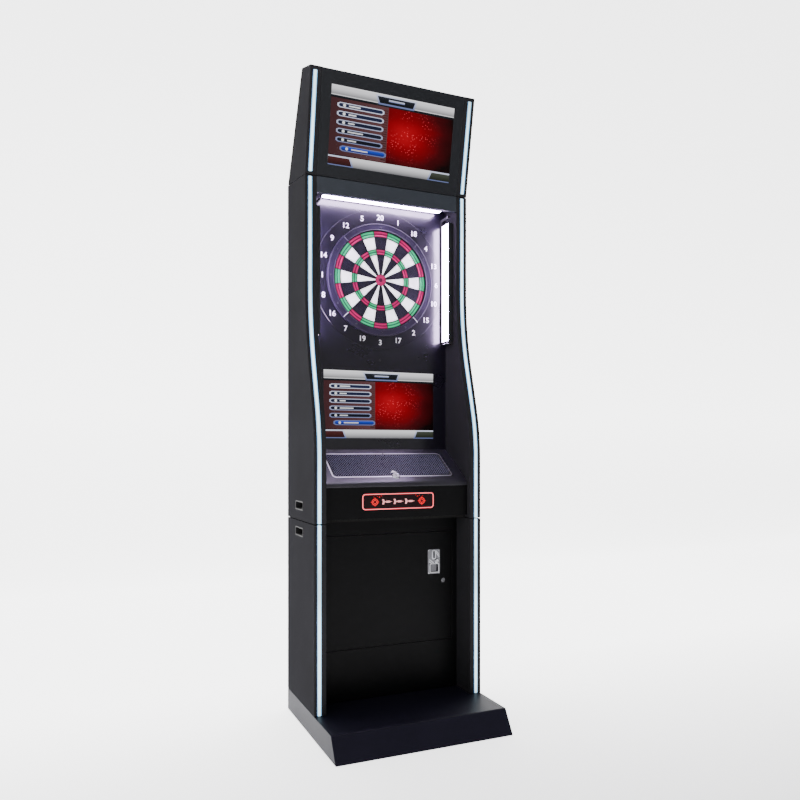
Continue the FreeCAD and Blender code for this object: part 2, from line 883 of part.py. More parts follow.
def upper_sides():
    strip_top = D.top_front_height - 3
    for name, side, low, high in side_spans():
        corners = front_curve(as_size(0), upper_bottom, D.top_front_height)
        outline = Loop(corners + [Corner(back, D.top_back_height), Corner(back, upper_bottom)])
        body = plate(f"upper_side_{name}", "YZ_Plane", low, high, [outline])
        groove = Loop(
            front_curve(as_size(-1), upper_bottom, strip_top)
            + backwards(front_curve(D.strip_groove, upper_bottom, strip_top))
        )
        pocket(body, "YZ_Plane", *strip_span(side), [groove])
        grip_pocket(body, side, D.grip_upper)
        node(f"upper_side_{name}", body)


def upper_floor():
    outline = rectangle(-inner_half, apron_front + D.board_thickness, inner_half, back_inside)
    node("upper_floor", plate("upper_floor", "XY_Plane", upper_bottom, upper_bottom + D.board_thickness,
                              [outline, Circle(0, 150, 35)]))


def upper_back_panel():
    outline = rectangle(-inner_half, upper_bottom, inner_half, D.top_back_height - 4)
    body = plate("upper_back_panel", "XZ_Plane", back_inside, back, [outline])
    for across in (-150, 150):
        vents(body, "XZ_Plane", back_inside, back, as_size(across), as_size(960), 8, 13, 100, 6)
    vents(body, "XZ_Plane", back_inside, back, as_size(0), as_size(1960), 5, 16, 260, 7)
    node("upper_back_panel", body)


def speakers():
    """Two loudspeakers behind the slots of the upper back panel: a square basket and a round magnet each."""
    pair = []
    height = as_size(1008)
    for name, across in (("left", as_size(-150)), ("right", as_size(150))):
        basket = block(f"speaker_basket_{name}", (across - 55, back_inside - 12, height - 55),
                       (across + 55, back_inside, height + 55))
        cone_room = doc.addObject("Part::Cone", f"speaker_cone_{name}")
        cone_room.Placement = FreeCAD.Placement(VECTOR(), FreeCAD.Rotation(ACROSS_X, -90))
        bind(cone_room, "Radius1", 16)
        bind(cone_room, "Radius2", 47)
        bind(cone_room, "Height", 10)
        stand(cone_room, (across, back_inside - 9.9, height))
        magnet = rod(f"speaker_magnet_{name}", "Y", (across, back_inside - 52, height), 34, 40)
        open_basket = without(f"speaker_open_{name}", basket, [cone_room])
        pair.append(fused(f"speaker_{name}", [open_basket, magnet]))
    node("speakers", together("speaker_pair", pair))


def apron_panel():
    window = (-D.sign_half_width, D.sign_bottom, D.sign_half_width, D.sign_top)
    outlines = [
        rectangle(-inner_half, D.apron_bottom, inner_half, lip_end - 0.5),
        rounded(*window, 14),
    ]
    node("apron_panel", plate("apron_panel", "XZ_Plane", apron_front, apron_front + D.board_thickness, outlines))

    gap = 0.3
    lens = rounded(window[0] + gap, window[1] + gap, window[2] - gap, window[3] - gap, 13.7)
    node("sign_lens", plate("sign_lens", "XZ_Plane", apron_front + 1, apron_front + 6, [lens]))

    margin = 10
    housing_back = apron_front + D.board_thickness + 36
    shell = rectangle(window[0] - margin, window[1] - margin, window[2] + margin, window[3] + margin)
    body = plate("sign_housing", "XZ_Plane", apron_front + D.board_thickness, housing_back, [shell])
    inside = rounded(window[0] + 2, window[1] + 2, window[2] - 2, window[3] - 2, 12)
    pocket(body, "XZ_Plane", apron_front + D.board_thickness, housing_back - 3, [inside])
    node("sign_housing", body)


# ---- control shelf -------------------------------------------------------------------------------------------

shelf_sine = sine(D.shelf_angle)
shelf_cosine = cosine(D.shelf_angle)
shelf_corner = D.shelf_back_height - (recess_back - apron_front) * tangent(D.shelf_angle)
lip_end = shelf_corner - D.shelf_lip * (1 - shelf_sine) / shelf_cosine
shelf_base = (0, recess_back, D.shelf_back_height)


def on_shelf(item):
    """Puts a piece on the shelf's slope: its own XY plane is the slope, and its -Y runs down towards the front."""
    return stand(item, shelf_base, ACROSS_X, D.shelf_angle)


def button_hole(name, radius):
    hole = doc.addObject("Part::Cylinder", name)
    bind(hole, "Radius", radius)
    bind(hole, "Height", 60)
    run = D.button_down
    drop = 30
    base = (
        D.button_across,
        recess_back - run * shelf_cosine + drop * shelf_sine,
        D.shelf_back_height - run * shelf_sine - drop * shelf_cosine,
    )
    return stand(hole, base, ACROSS_X, D.shelf_angle)


def control_shelf():
    inner_lip = D.shelf_lip - D.shelf_thickness
    centre_y = apron_front + D.shelf_lip
    outline = Loop([
        Corner(recess_back, D.shelf_back_height),
        Corner(centre_y - D.shelf_lip * shelf_sine, lip_end + D.shelf_lip * shelf_cosine, D.shelf_lip, 1),
        Corner(apron_front, lip_end),
        Corner(apron_front + D.shelf_thickness, lip_end, inner_lip, -1),
    ] + [
        Corner(centre_y - inner_lip * shelf_sine, lip_end + inner_lip * shelf_cosine),
        Corner(recess_back, D.shelf_back_height - D.shelf_thickness / shelf_cosine),
    ])
    body = plate("control_shelf", "YZ_Plane", -inner_half, inner_half, [outline])
    node("control_shelf", without("control_shelf_cut", body, [button_hole("shelf_hole", D.button_radius + 2.6)]))


def shelf_overlay():
    """The printed overlay: a bright rim round a mesh-patterned insert, both stopping at the button's bezel."""
    rim = D.overlay_rim
    outer = (-D.overlay_half_width, -D.overlay_front, D.overlay_half_width, -D.overlay_back)
    inner = (outer[0] + rim, outer[1] + rim, outer[2] - rim, outer[3] - rim)
    fit = 0.1
    insert = (inner[0] + fit, inner[1] + fit, inner[2] - fit, inner[3] - fit)
    frame = new_body("overlay_frame")
    pad(frame, "XY_Plane", 0, 1.2, [rounded(*outer, D.overlay_round), rounded(*inner, D.overlay_round - rim)])
    mesh = new_body("overlay_mesh")
    pad(mesh, "XY_Plane", 0, 0.9, [rounded(*insert, D.overlay_round - rim - fit)])
    for label, body in (("overlay_frame", frame), ("overlay_mesh", mesh)):
        on_shelf(body)
        hole = button_hole(f"{label}_hole", D.button_radius + 4.7)
        node(label, without(f"{label}_cut", body, [hole]))


def select_button():
    bore = D.button_radius + D.bull_gap
    centre = (D.button_across, -D.button_down)
    bezel = new_body("button_bezel")
    pad(bezel, "XY_Plane", 0, 3.6, [Circle(*centre, D.button_radius + 4.5), Circle(*centre, bore)])
    pad(bezel, "XY_Plane", -22, 0, [Circle(*centre, D.button_radius + 2.5), Circle(*centre, bore)])
    node("button_bezel", on_shelf(bezel))
    cap = new_body("select_button")
    pad(cap, "XY_Plane", -14, 5.5, [Circle(*centre, D.button_radius)])
    node("select_button", on_shelf(cap))


# ---- recess, light bars and screens --------------------------------------------------------------------------


def header_and_ceiling():
    header = rectangle(-inner_half, D.header_bottom, inner_half, D.top_front_height)
    node("header_panel", plate("header_panel", "XZ_Plane", upper_front, upper_front + D.board_thickness, [header]))
    outline = rectangle(-inner_half, upper_front + D.board_thickness, inner_half, recess_back)
    node("recess_ceiling", plate("recess_ceiling", "XY_Plane", D.ceiling_height, D.ceiling_height + 12, [outline]))


def board_fascia():
    outlines = [
        rectangle(-inner_half, D.shelf_back_height, inner_half, D.ceiling_height + 12),
        Circle(0, D.target_height, D.ring_inner + 0.5),
        rectangle(-D.screen_half_width, D.screen_bottom, D.screen_half_width, D.screen_top),
        Circle(0, D.camera_height, D.camera_radius + 0.2),
    ]
    outlines += [Circle(x, D.target_height + z, 2.3) for x, z in screw_places()]
    node("board_fascia", plate("board_fascia", "XZ_Plane", recess_back, fascia_back, outlines))


def mirrored(side, inner, outer):
    """The low and high end of a span between two distances from the middle, on one side."""
    return (inner, outer) if side > 0 else (-outer, -inner)


def side_bar(name, side):
    """A light bar on a side wall. It shines across the recess, and its housing's lip shades the player."""
    lens_thickness = 5
    lip = 3
    front = ahead(D.side_bar_front_depth)
    bar_back = recess_back - 7
    face = inner_half - D.side_bar_reach
    lens_low, lens_high = mirrored(side, face, face + lens_thickness)
    case_low, case_high = mirrored(side, face + lens_thickness, inner_half)
    bottom = D.side_bar_bottom
    top = D.side_bar_top
    lens = block(f"diffuser_{name}", (lens_low, front + lip, bottom), (lens_high, bar_back, top))
    case = block(f"bar_case_{name}", (case_low, front, bottom), (case_high, bar_back, top))
    shade = block(f"bar_lip_{name}", (lens_low, front, bottom), (lens_high, front + lip, top))
    return fused(f"bar_housing_{name}", [case, shade]), lens


def ceiling_bar():
    housing = 8
    half = D.ceiling_bar_half
    front = ahead(D.bar_front_depth)
    bar_back = front + 48
    lens_top = D.ceiling_height - housing
    lens = block("diffuser_ceiling", (-half, front, D.ceiling_height - D.bar_thickness), (half, bar_back, lens_top))
    case = block("bar_housing_ceiling", (-half, front, lens_top), (half, bar_back, D.ceiling_height))
    return case, lens


def light_bars():
    """Three bars round the recess, under its ceiling and on its side walls: a housing and a diffuser each."""
    housings, diffusers = zip(ceiling_bar(), side_bar("left", -1), side_bar("right", 1))
    node("light_bar_housings", together("bar_housings", list(housings)))
    node("light_bar_diffusers", together("bar_diffusers", list(diffusers)))


def screen_module(label, half_across, bottom, top, face, rear_panel, tilt=None):
    """A flat screen: its glass stands in the window, and its chassis sits behind the panel."""
    gap = 0.3
    margin = 12
    body = new_body(label)
    glass = rectangle(gap - half_across, bottom + gap, half_across - gap, top - gap)
    pad(body, "XZ_Plane", face, rear_panel, [glass])
    chassis = rectangle(-half_across - margin, bottom - margin, half_across + margin, top + margin)
    pad(body, "XZ_Plane", rear_panel, rear_panel + 30, [chassis])
    if tilt is not None:
        tilt(body)
    node(label, body)


def board_camera():
    body = new_body("board_camera")
    centre = (as_size(0), D.camera_height)
    pad(body, "XZ_Plane", recess_back - 1.5, fascia_back, [Circle(*centre, D.camera_radius)])
    board = rectangle(-14, centre[1] - 12, 14, centre[1] + 12)
    pad(body, "XZ_Plane", fascia_back, fascia_back + 9, [board])
    node("board_camera", body)


# ---- target --------------------------------------------------------------------------------------------------

SECTORS = 20
HALF_SECTOR = 180 / SECTORS
web_front = -8
web_back = 10
segment_front = -6.5
segment_back = 9.5


def at_target(item, angle=None):
    """Puts a piece's own XZ plane on the recess's back, with its origin at the bull's centre."""
    return stand(item, (0, recess_back, D.target_height), ALONG_Y, angle)


def screw_places():
    """Twelve screws round the catch ring, an hour's angle apart."""
    count = 12
    return [
        (D.ring_screws_radius * cosine(index * 360 / count), D.ring_screws_radius * sine(index * 360 / count))
        for index in range(count)
    ]


def sector_outline(inner, outer, edge_offset):
    """A sector's piece between two radii, with its straight edges offset from the sector's own edges."""
    lean_sine = sine(HALF_SECTOR)
    lean_cosine = cosine(HALF_SECTOR)
    corners = []
    for radius, side, turn in ((inner, 1, 0), (outer, 1, 1), (outer, -1, 0), (inner, -1, -1)):
        reach = root(radius * radius - edge_offset * edge_offset)
        across = (lean_sine * reach - lean_cosine * edge_offset) * side
        up = lean_cosine * reach + lean_sine * edge_offset
        corners.append(Corner(across, up, radius if turn else None, turn))
    return Loop(corners)


def ring_spans(clearance):
    """The radii of the four rings of segments, each drawn in from the web by the clearance."""
    half_web = D.web_width / 2 + clearance
    return {
        "inner_single": (D.bull_outer + half_web, D.treble_inner - half_web),
        "treble": (D.treble_inner + half_web, D.treble_outer - half_web),
        "outer_single": (D.treble_outer + half_web, D.double_inner - half_web),
        "double": (D.double_inner + half_web, D.double_outer - half_web),
    }


def segments():
    """Eighty segments in four groups by colour: ten sectors each of black and white singles, red and green rings."""
    groups = {
        "singles_dark": ("inner_single", "outer_single", 0),
        "singles_light": ("inner_single", "outer_single", 1),
        "rings_red": ("treble", "double", 0),
        "rings_green": ("treble", "double", 1),
    }
    spans = ring_spans(D.segment_gap)
    edge_offset = D.web_width / 2 + D.segment_gap
    for label, (first, second, shift) in groups.items():
        body = new_body(label)
        outlines = [sector_outline(*spans[first], edge_offset), sector_outline(*spans[second], edge_offset)]
        piece = pad(body, "XZ_Plane", segment_front, segment_back, outlines)
        ring_pattern(body, piece, SECTORS // 2)
        node(label, at_target(body, 360 / SECTORS if shift else None))


def spider_web():
    """The web that holds the segments: a disc with a pocket for each one."""
    body = new_body("spider_web")
    pad(body, "XZ_Plane", web_front, web_back, [Circle(0, 0, D.web_outer), Circle(0, 0, D.bull_outer + D.bull_gap)])
    outlines = [sector_outline(*span, D.web_width / 2) for span in ring_spans(0).values()]
    sector = pocket(body, "XZ_Plane", web_front, web_back, outlines)
    ring_pattern(body, sector, SECTORS)
    node("spider_web", at_target(body))


def bulls():
    travel_room = D.bull_travel + 0.2
    outer = plate("outer_bull", "XZ_Plane", segment_front, segment_back - travel_room + 0.5,
                  [Circle(0, 0, D.bull_outer), Circle(0, 0, D.bull_inner + D.bull_gap)])
    node("outer_bull", at_target(outer))
    inner = plate("inner_bull", "XZ_Plane", segment_front - 1, segment_back - travel_room + 0.5,
                  [Circle(0, 0, D.bull_inner)])
    node("inner_bull", at_target(inner))


def catch_ring():
    """The ring round the target, with its screws and four raised ribs."""
    front = -12
    rib_half = 2.5
    body = new_body("catch_ring")
    holes = [Circle(x, z, 2.3) for x, z in screw_places()]
    pad(body, "XZ_Plane", front, 0, [Circle(0, 0, D.ring_outer), Circle(0, 0, D.ring_inner)] + holes)
    diagonal = cosine(45)
    low = D.ring_inner + 2
    high = D.ring_outer - 2
    rib = polygon(
        ((low + rib_half) * diagonal, (low - rib_half) * diagonal),
        ((high + rib_half) * diagonal, (high - rib_half) * diagonal),
        ((high - rib_half) * diagonal, (high + rib_half) * diagonal),
        ((low - rib_half) * diagonal, (low + rib_half) * diagonal),
    )
    raised = pad(body, "XZ_Plane", front - 2, front + 0.5, [rib])
    ring_pattern(body, raised, 4)
    node("catch_ring", at_target(body))

    head_radius = 4
    heads = new_body("ring_screws")
    pad(heads, "XZ_Plane", front - 2, front, [Circle(x, z, head_radius) for x, z in screw_places()])
    pad(heads, "XZ_Plane", front, D.fascia_thickness + 12, [Circle(x, z, 2) for x, z in screw_places()])
    node("ring_screws", at_target(heads))


def sensor_layers():
    matrix = plate("sensor_matrix", "XZ_Plane", web_back, D.fascia_thickness, [Circle(0, 0, D.web_outer)])
    node("sensor_matrix", at_target(matrix))
    plate_back = D.fascia_thickness + 8
    outlines = [Circle(0, 0, D.ring_outer - 3)] + [Circle(x, z, 2.3) for x, z in screw_places()]
    backing = plate("target_backplate", "XZ_Plane", D.fascia_thickness, plate_back, outlines)
    node("target_backplate", at_target(backing))


# ---- head ----------------------------------------------------------------------------------------------------

head_bezel = 12


def on_head(item):
    """Leans a piece with the head: its own XZ plane is the head's face, with the origin at the face's foot."""
    return stand(item, (0, upper_front, D.head_pivot_height), ACROSS_X, D.head_lean_angle)


def inner_corner(before, corner, after, wall):
    """The corner of an outline drawn a wall's thickness inside a polygon that runs anticlockwise."""
    runs = []
    for start, end in ((before, corner), (corner, after)):
        run = (end[0] - start[0], end[1] - start[1])
        length = root(run[0] * run[0] + run[1] * run[1])
        runs.append((run[0] / length, run[1] / length))
    cross = runs[0][0] * runs[1][1] - runs[0][1] * runs[1][0]
    return tuple(corner[i] + (runs[1][i] - runs[0][i]) * wall / cross for i in (0, 1))


def head_profile():
    return (
        (as_size(0), as_size(0)),
        (D.head_base_run, -D.head_base_drop),
        (D.head_top_run, D.head_top_rise),
        (as_size(0), D.head_face),
    )


def head_sides():
    for name, side, low, high in side_spans():
        body = plate(f"head_side_{name}", "YZ_Plane", low, high, [polygon(*head_profile())])
        groove = rectangle(-1, 11, D.strip_groove, D.head_face - 13)
        pocket(body, "YZ_Plane", *strip_span(side), [groove])
        node(f"head_side_{name}", on_head(body))


def head_front_frame():
    outlines = [
        rectangle(-inner_half, 1, inner_half, D.head_face - 0.5),
        rectangle(-D.head_screen_half_width, D.head_screen_bottom, D.head_screen_half_width, D.head_screen_top),
    ]
    body = plate("head_front_frame", "XZ_Plane", 0, head_bezel, outlines)
    node("head_front_frame", on_head(body))


def head_shell():
    """One folded cover for the head's base, back and top, between its sides and behind its front frame."""
    wall = 10
    foot, heel, crown, brow = head_profile()
    base_share = head_bezel / D.head_base_run
    top_share = head_bezel / D.head_top_run
    start = (as_size(head_bezel), -D.head_base_drop * base_share)
    end = (as_size(head_bezel), D.head_face + (D.head_top_rise - D.head_face) * top_share)
    inner_heel = inner_corner(foot, heel, crown, wall)
    inner_crown = inner_corner(heel, crown, brow, wall)
    outline = polygon(
        start, heel, crown, end,
        (end[0], end[1] - wall), inner_crown, inner_heel, (start[0], start[1] + wall),
    )
    body = plate("head_shell", "YZ_Plane", -inner_half, inner_half, [outline])
    node("head_shell", on_head(body))


def light_strips():
    """Six edge-light strips: one in the front edge of each side panel of the two cabinets and the head."""
    proud = as_size(1)
    seated = proud + D.strip_thickness
    lower = rectangle(lower_front + proud, D.foot_height + 1, lower_front + seated, lower_top - 1)
    upper = Loop(
        front_curve(proud, upper_bottom + 1, D.top_front_height - 4)
        + backwards(front_curve(seated, upper_bottom + 1, D.top_front_height - 4))
    )
    top = rectangle(proud, 12, seated, D.head_face - 14)
    strips = []
    for name, side, _, _ in side_spans():
        low, high = strip_span(side)
        for part, outline in (("lower", lower), ("upper", upper), ("head", top)):
            body = plate(f"strip_{part}_{name}", "YZ_Plane", low + 0.4, high - 0.4, [outline])
            strips.append(on_head(body) if part == "head" else body)
    node("light_strips", together("strip_group", strips))


# ---- the whole machine ---------------------------------------------------------------------------------------


def build():
    foot_plinth()
    lower_sides()
    lower_back_panel()
    lower_front_frame()
    coin_door()
    door_hinge()
    door_lock()
    coin_plate()
    coin_mech()
    reject_button()
    return_flap()
    cash_box()
    power_supply()
    game_computer()
    power_inlet()
    exhaust_fan()
    upper_sides()
    upper_floor()
    upper_back_panel()
    speakers()
    apron_panel()
    control_shelf()
    shelf_overlay()
    select_button()
    header_and_ceiling()
    board_fascia()
    light_bars()
    screen_module("lower_screen", D.screen_half_width, D.screen_bottom, D.screen_top, recess_back + 1, fascia_back)
    board_camera()
    segments()
    spider_web()
    bulls()
    catch_ring()
    sensor_layers()
    head_sides()
    head_front_frame()
    head_shell()
    screen_module("upper_screen", D.head_screen_half_width, D.head_screen_bottom, D.head_screen_top,
                  as_size(2), as_size(head_bezel), on_head)
    light_strips()


def check():
    """Stops before anything is written if a feature failed, a pocket cut nothing, or a shape isn't sound."""
    problems = []
    for item in doc.Objects:
        if {"Invalid", "Error"} & set(item.State):
            problems.append(f"{item.Name}: {item.State}")
        if item.TypeId == "PartDesign::Pocket":
            if item.Shape.Volume >= item.BaseFeature.Shape.Volume - 0.01:
                problems.append(f"{item.Name} cuts nothing")
    for label, item in nodes.items():
        if item.Shape.isNull() or not item.Shape.isValid():
            problems.append(f"{label} has no valid shape")
    if problems:
        raise RuntimeError("\n".join(problems))


build()
doc.recompute()
check()
os.makedirs("parts", exist_ok=True)
for label, item in nodes.items():
    item.Shape.exportStep(f"parts/{label}.step")
print(f"{len(nodes)} nodes written")
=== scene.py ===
import math

import bmesh
import bpy
from mathutils import Matrix, Vector
from mathutils.geometry import delaunay_2d_cdt


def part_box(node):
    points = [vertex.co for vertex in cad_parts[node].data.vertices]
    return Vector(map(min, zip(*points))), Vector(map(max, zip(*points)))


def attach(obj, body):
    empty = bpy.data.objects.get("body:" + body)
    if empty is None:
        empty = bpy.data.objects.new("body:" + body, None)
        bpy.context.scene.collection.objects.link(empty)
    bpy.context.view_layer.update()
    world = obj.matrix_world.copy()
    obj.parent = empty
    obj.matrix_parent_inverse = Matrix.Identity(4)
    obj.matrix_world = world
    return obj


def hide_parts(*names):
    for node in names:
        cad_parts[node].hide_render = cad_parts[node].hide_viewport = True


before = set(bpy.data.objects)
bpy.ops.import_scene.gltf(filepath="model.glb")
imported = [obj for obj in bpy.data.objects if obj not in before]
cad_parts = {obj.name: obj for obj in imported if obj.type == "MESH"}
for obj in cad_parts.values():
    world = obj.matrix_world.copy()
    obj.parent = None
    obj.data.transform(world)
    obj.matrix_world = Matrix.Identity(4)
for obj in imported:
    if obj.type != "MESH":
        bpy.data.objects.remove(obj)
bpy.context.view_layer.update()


def middle_of(node):
    low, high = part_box(node)
    return (low + high) / 2


MM = 0.001
CABINET = "cabinet"
DOOR = "coin_door"
GRIP_Y = 0.133
GRIP_HEIGHTS = {"lower": 0.733, "upper": 0.833}
SIDE_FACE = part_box("lower_side_right")[1].x
FASCIA_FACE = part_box("board_fascia")[0].y
BULL = middle_of("outer_bull")
SECTORS = 20
NUMBERS = (20, 1, 18, 4, 13, 6, 10, 15, 2, 17, 3, 19, 7, 16, 8, 11, 14, 9, 12, 5)
HALF_SECTOR = math.pi / SECTORS
RINGS = {
    "inner_single": (0.0232, 0.1008),
    "treble": (0.1032, 0.1223),
    "outer_single": (0.1247, 0.1708),
    "double": (0.1732, 0.1958),
}
DISC_RADIUS = 0.280
NUMBER_RADIUS = 0.252
NUMBERS_FACE = FASCIA_FACE - 1.6 * MM
PIN_SPAN = (0.199, 0.2268)
SEGMENT_FRONT, SEGMENT_BACK = (corner.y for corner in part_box("singles_dark"))
WEB_HALF = 1.2 * MM
CHAMFER = 0.5 * MM
HOLE_RADIUS = 1.35 * MM
HOLE_PITCH = 4.9 * MM
HOLE_DEPTH = 2.4 * MM
HEAD_LEAN = math.radians(10.64)
HEAD_PIVOT = Vector((0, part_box("header_panel")[0].y, 2.0804))
UPPER_GLASS = (0.5124, 0.2849)
SHELF_SLOPE = math.radians(33.77)
SHELF_ORIGIN = Vector((0, *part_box("control_shelf")[1].yz))
SHELF_PLANE = Matrix.Translation(SHELF_ORIGIN) @ Matrix.Rotation(SHELF_SLOPE, 4, "X")
BUTTON_PLACE = (4 * MM, 183 * MM)

# ---- materials ----


class Finish:
    """A procedural material: a shader with its fixed values, and a few nodes that vary what they must."""

    def __init__(self, name, color, **values):
        self.material = bpy.data.materials.new(name)
        self.material.use_nodes = True
        self.tree = self.material.node_tree
        self.shader = self.tree.nodes["Principled BSDF"]
        self.color = color
        self.set("Base Color", (*color, 1))
        for socket, value in values.items():
            self.set(socket.replace("_", " ").title().replace("Ior", "IOR"), value)
        self.place = self.node("ShaderNodeTexCoord")

    def set(self, socket, value):
        self.shader.inputs[socket].default_value = value

    def node(self, kind, inputs=None, **attributes):
        made = self.tree.nodes.new(kind)
        for name, value in attributes.items():
            setattr(made, name, value)
        for name, value in (inputs or {}).items():
            if hasattr(value, "is_output"):
                self.tree.links.new(value, made.inputs[name])
            else:
                made.inputs[name].default_value = value
        return made

    def link(self, source, socket):
        self.tree.links.new(source, self.shader.inputs[socket])

    def math(self, operation, *values, clamp=False):
        inputs = dict(enumerate(values))
        return self.node("ShaderNodeMath", inputs, operation=operation, use_clamp=clamp).outputs[0]

    def vector_math(self, operation, first, second):
        return self.node("ShaderNodeVectorMath", {0: first, 1: second}, operation=operation).outputs[0]

    def axes(self, space="Object"):
        """The place's X, Y and Z, by name."""
        return self.node("ShaderNodeSeparateXYZ", {"Vector": self.place.outputs[space]}).outputs

    def distance(self, across, up):
        square = self.math("ADD", self.math("MULTIPLY", across, across), self.math("MULTIPLY", up, up))
        return self.math("SQRT", square)

    def noise(self, scale, detail=4, stretch=(1, 1, 1), space="Object"):
        mapping = self.node("ShaderNodeMapping", {"Vector": self.place.outputs[space], "Scale": stretch})
        inputs = {"Vector": mapping.outputs[0], "Scale": scale, "Detail": detail}
        return self.node("ShaderNodeTexNoise", inputs).outputs["Fac"]

    def ramp(self, factor, *stops):
        """Colours or greys along a factor: each stop is a place and a colour."""
        made = self.node("ShaderNodeValToRGB", {"Fac": factor})
        elements = made.color_ramp.elements
        while len(elements) < len(stops):
            elements.new(1)
        for element, (place, color) in zip(elements, stops):
            grey = isinstance(color, (int, float))
            element.position = place
            element.color = (color, color, color, 1) if grey else (*color, 1)
        return made.outputs["Color"]

    def bump(self, height, distance, strength):
        made = self.node("ShaderNodeBump", {"Height": height, "Distance": distance, "Strength": strength})
        self.link(made.outputs[0], "Normal")

    def vary(self, factor, spread):
        """Base colour a little darker and lighter than the middle one."""
        low = tuple(channel * (1 - spread) for channel in self.color)
        high = tuple(channel * (1 + spread) for channel in self.color)
        self.link(self.ramp(factor, (0.3, low), (0.7, high)), "Base Color")

    def rough(self, factor, low, high):
        self.link(self.ramp(factor, (0.3, low), (0.7, high)), "Roughness")


def textured_paint(name, color, low, high, sheen):
    """Black paint with a fine even grain, and faint slow drifts of tone and gloss."""
    finish = Finish(name, color, specular_ior_level=sheen)
    finish.vary(finish.noise(3, 4), 0.08)
    finish.rough(finish.noise(2.2, 3), low, high)
    finish.bump(finish.math("ADD", finish.noise(1100, 3), finish.noise(330, 2)), 0.00012, 0.6)
    return finish.material


def laminate(name, color):
    """Black laminate on board, with a faint long grain."""
    finish = Finish(name, color, specular_ior_level=0.08)
    grain = finish.noise(60, 8, (9, 9, 0.35))
    finish.vary(grain, 0.3)
    finish.rough(finish.noise(24, 4), 0.5, 0.68)
    finish.bump(grain, 0.0002, 0.35)
    return finish.material


def acrylic(name, color, roughness, gloss, shine):
    """Gloss black sheet: a clear skin that mirrors softly over a hazier print."""
    finish = Finish(name, color, coat_weight=gloss, coat_roughness=0.14, specular_ior_level=shine)
    haze = finish.noise(6, 5, (1, 1, 1.6))
    finish.vary(haze, 0.12)
    finish.rough(haze, roughness, roughness + 0.06)
    return finish.material


def moulded_skin(finish, low=0.38, high=0.55, grain=900):
    """Patchy gloss and a fine grain, as moulded plastic has."""
    finish.rough(finish.noise(80, 4), low, high)
    finish.bump(finish.noise(grain, 3), 0.00015, 0.45)
    return finish.material


def plastic(name, color, *skin):
    finish = Finish(name, color)
    finish.vary(finish.noise(30, 5), 0.18)
    return moulded_skin(finish, *skin)


def lit_plastic(name, color, strength):
    """White plastic with a faint painted glow: emission that stands in for the recess's lamps lighting it.
    """
    finish = Finish(name, color, emission_strength=strength)
    patches = finish.noise(30, 5)
    finish.vary(patches, 0.05)
    dim = tuple(channel * 0.85 for channel in color)
    finish.link(finish.ramp(patches, (0.3, dim), (0.7, color)), "Emission Color")
    return moulded_skin(finish, 0.36, 0.5)


def brushed(name, color, low, high, stretch):
    """Sheet steel with brush lines across it."""
    finish = Finish(name, color, metallic=1.0)
    lines = finish.noise(55, 6, stretch)
    finish.vary(lines, 0.2)
    finish.rough(lines, low, high)
    finish.bump(lines, 0.00008, 0.4)
    return finish.material


def chrome(name, color):
    finish = Finish(name, color, metallic=1.0)
    smears = finish.noise(70, 6)
    finish.vary(smears, 0.1)
    finish.rough(smears, 0.09, 0.24)
    finish.bump(finish.noise(260, 3), 0.00006, 0.25)
    return finish.material


def lit(name, color, strength, rim):
    """A diffuser lit from behind, a little uneven along its length."""
    body = tuple(channel * 0.6 for channel in color)
    finish = Finish(name, body, roughness=0.2, emission_strength=strength)
    patches = finish.noise(14, 3)
    dim = tuple(channel * 0.9 for channel in rim)
    finish.link(finish.ramp(patches, (0.25, dim), (0.75, color)), "Emission Color")
    finish.bump(finish.noise(500, 2), 0.0001, 0.2)
    return finish.material


def edge_light(name, centre, half_width):
    """The edge strips: white at the middle and deep blue where the diffuser meets its channel."""
    finish = Finish(name, (0.3, 0.5, 0.6), roughness=0.25, emission_strength=3.0)
    across = finish.math("ABSOLUTE", finish.axes()["X"])
    from_middle = finish.math("ABSOLUTE", finish.math("SUBTRACT", across, centre))
    share = finish.math("DIVIDE", from_middle, half_width, clamp=True)
    core = (0.0, (0.8, 0.96, 1.0)), (0.46, (0.6, 0.9, 1.0))
    rim = (0.7, (0.06, 0.26, 0.5)), (0.94, (0.004, 0.02, 0.12))
    color = finish.ramp(share, *core, *rim)
    drift = finish.ramp(finish.noise(2.6, 1, (0.2, 0.2, 1)), (0.32, 0.42), (0.62, 1.0))
    finish.link(finish.vector_math("MULTIPLY", color, drift), "Emission Color")
    finish.bump(finish.noise(300, 2), 0.0001, 0.15)
    return finish.material


def mesh_print(name):
    """The overlay's printed mesh: crossing grey lines on near black, under a thin clear gloss."""
    finish = Finish(name, (0.2, 0.19, 0.22), coat_weight=0.12, coat_roughness=0.06, specular_ior_level=0.05)
    place = finish.axes()
    pitch_across = 9.5 * MM
    pitch_down = 11 * MM
    waves = []
    for sign in (1, -1):
        across = finish.math("DIVIDE", place["X"], pitch_across)
        down = finish.math("DIVIDE", place["Y"], pitch_down * sign)
        turn = finish.math("MULTIPLY", finish.math("ADD", across, down), math.pi)
        waves.append(finish.math("ABSOLUTE", finish.math("SINE", turn)))
    weave = finish.math("MINIMUM", *waves)
    line = (0.12, (0.26, 0.26, 0.36))
    ground = (0.27, (0.02, 0.02, 0.03)), (0.5, (0.002, 0.002, 0.003))
    finish.link(finish.ramp(weave, line, *ground), "Base Color")
    finish.rough(finish.noise(20, 4), 0.25, 0.4)
    finish.bump(weave, 0.0002, 0.5)
    return finish.material


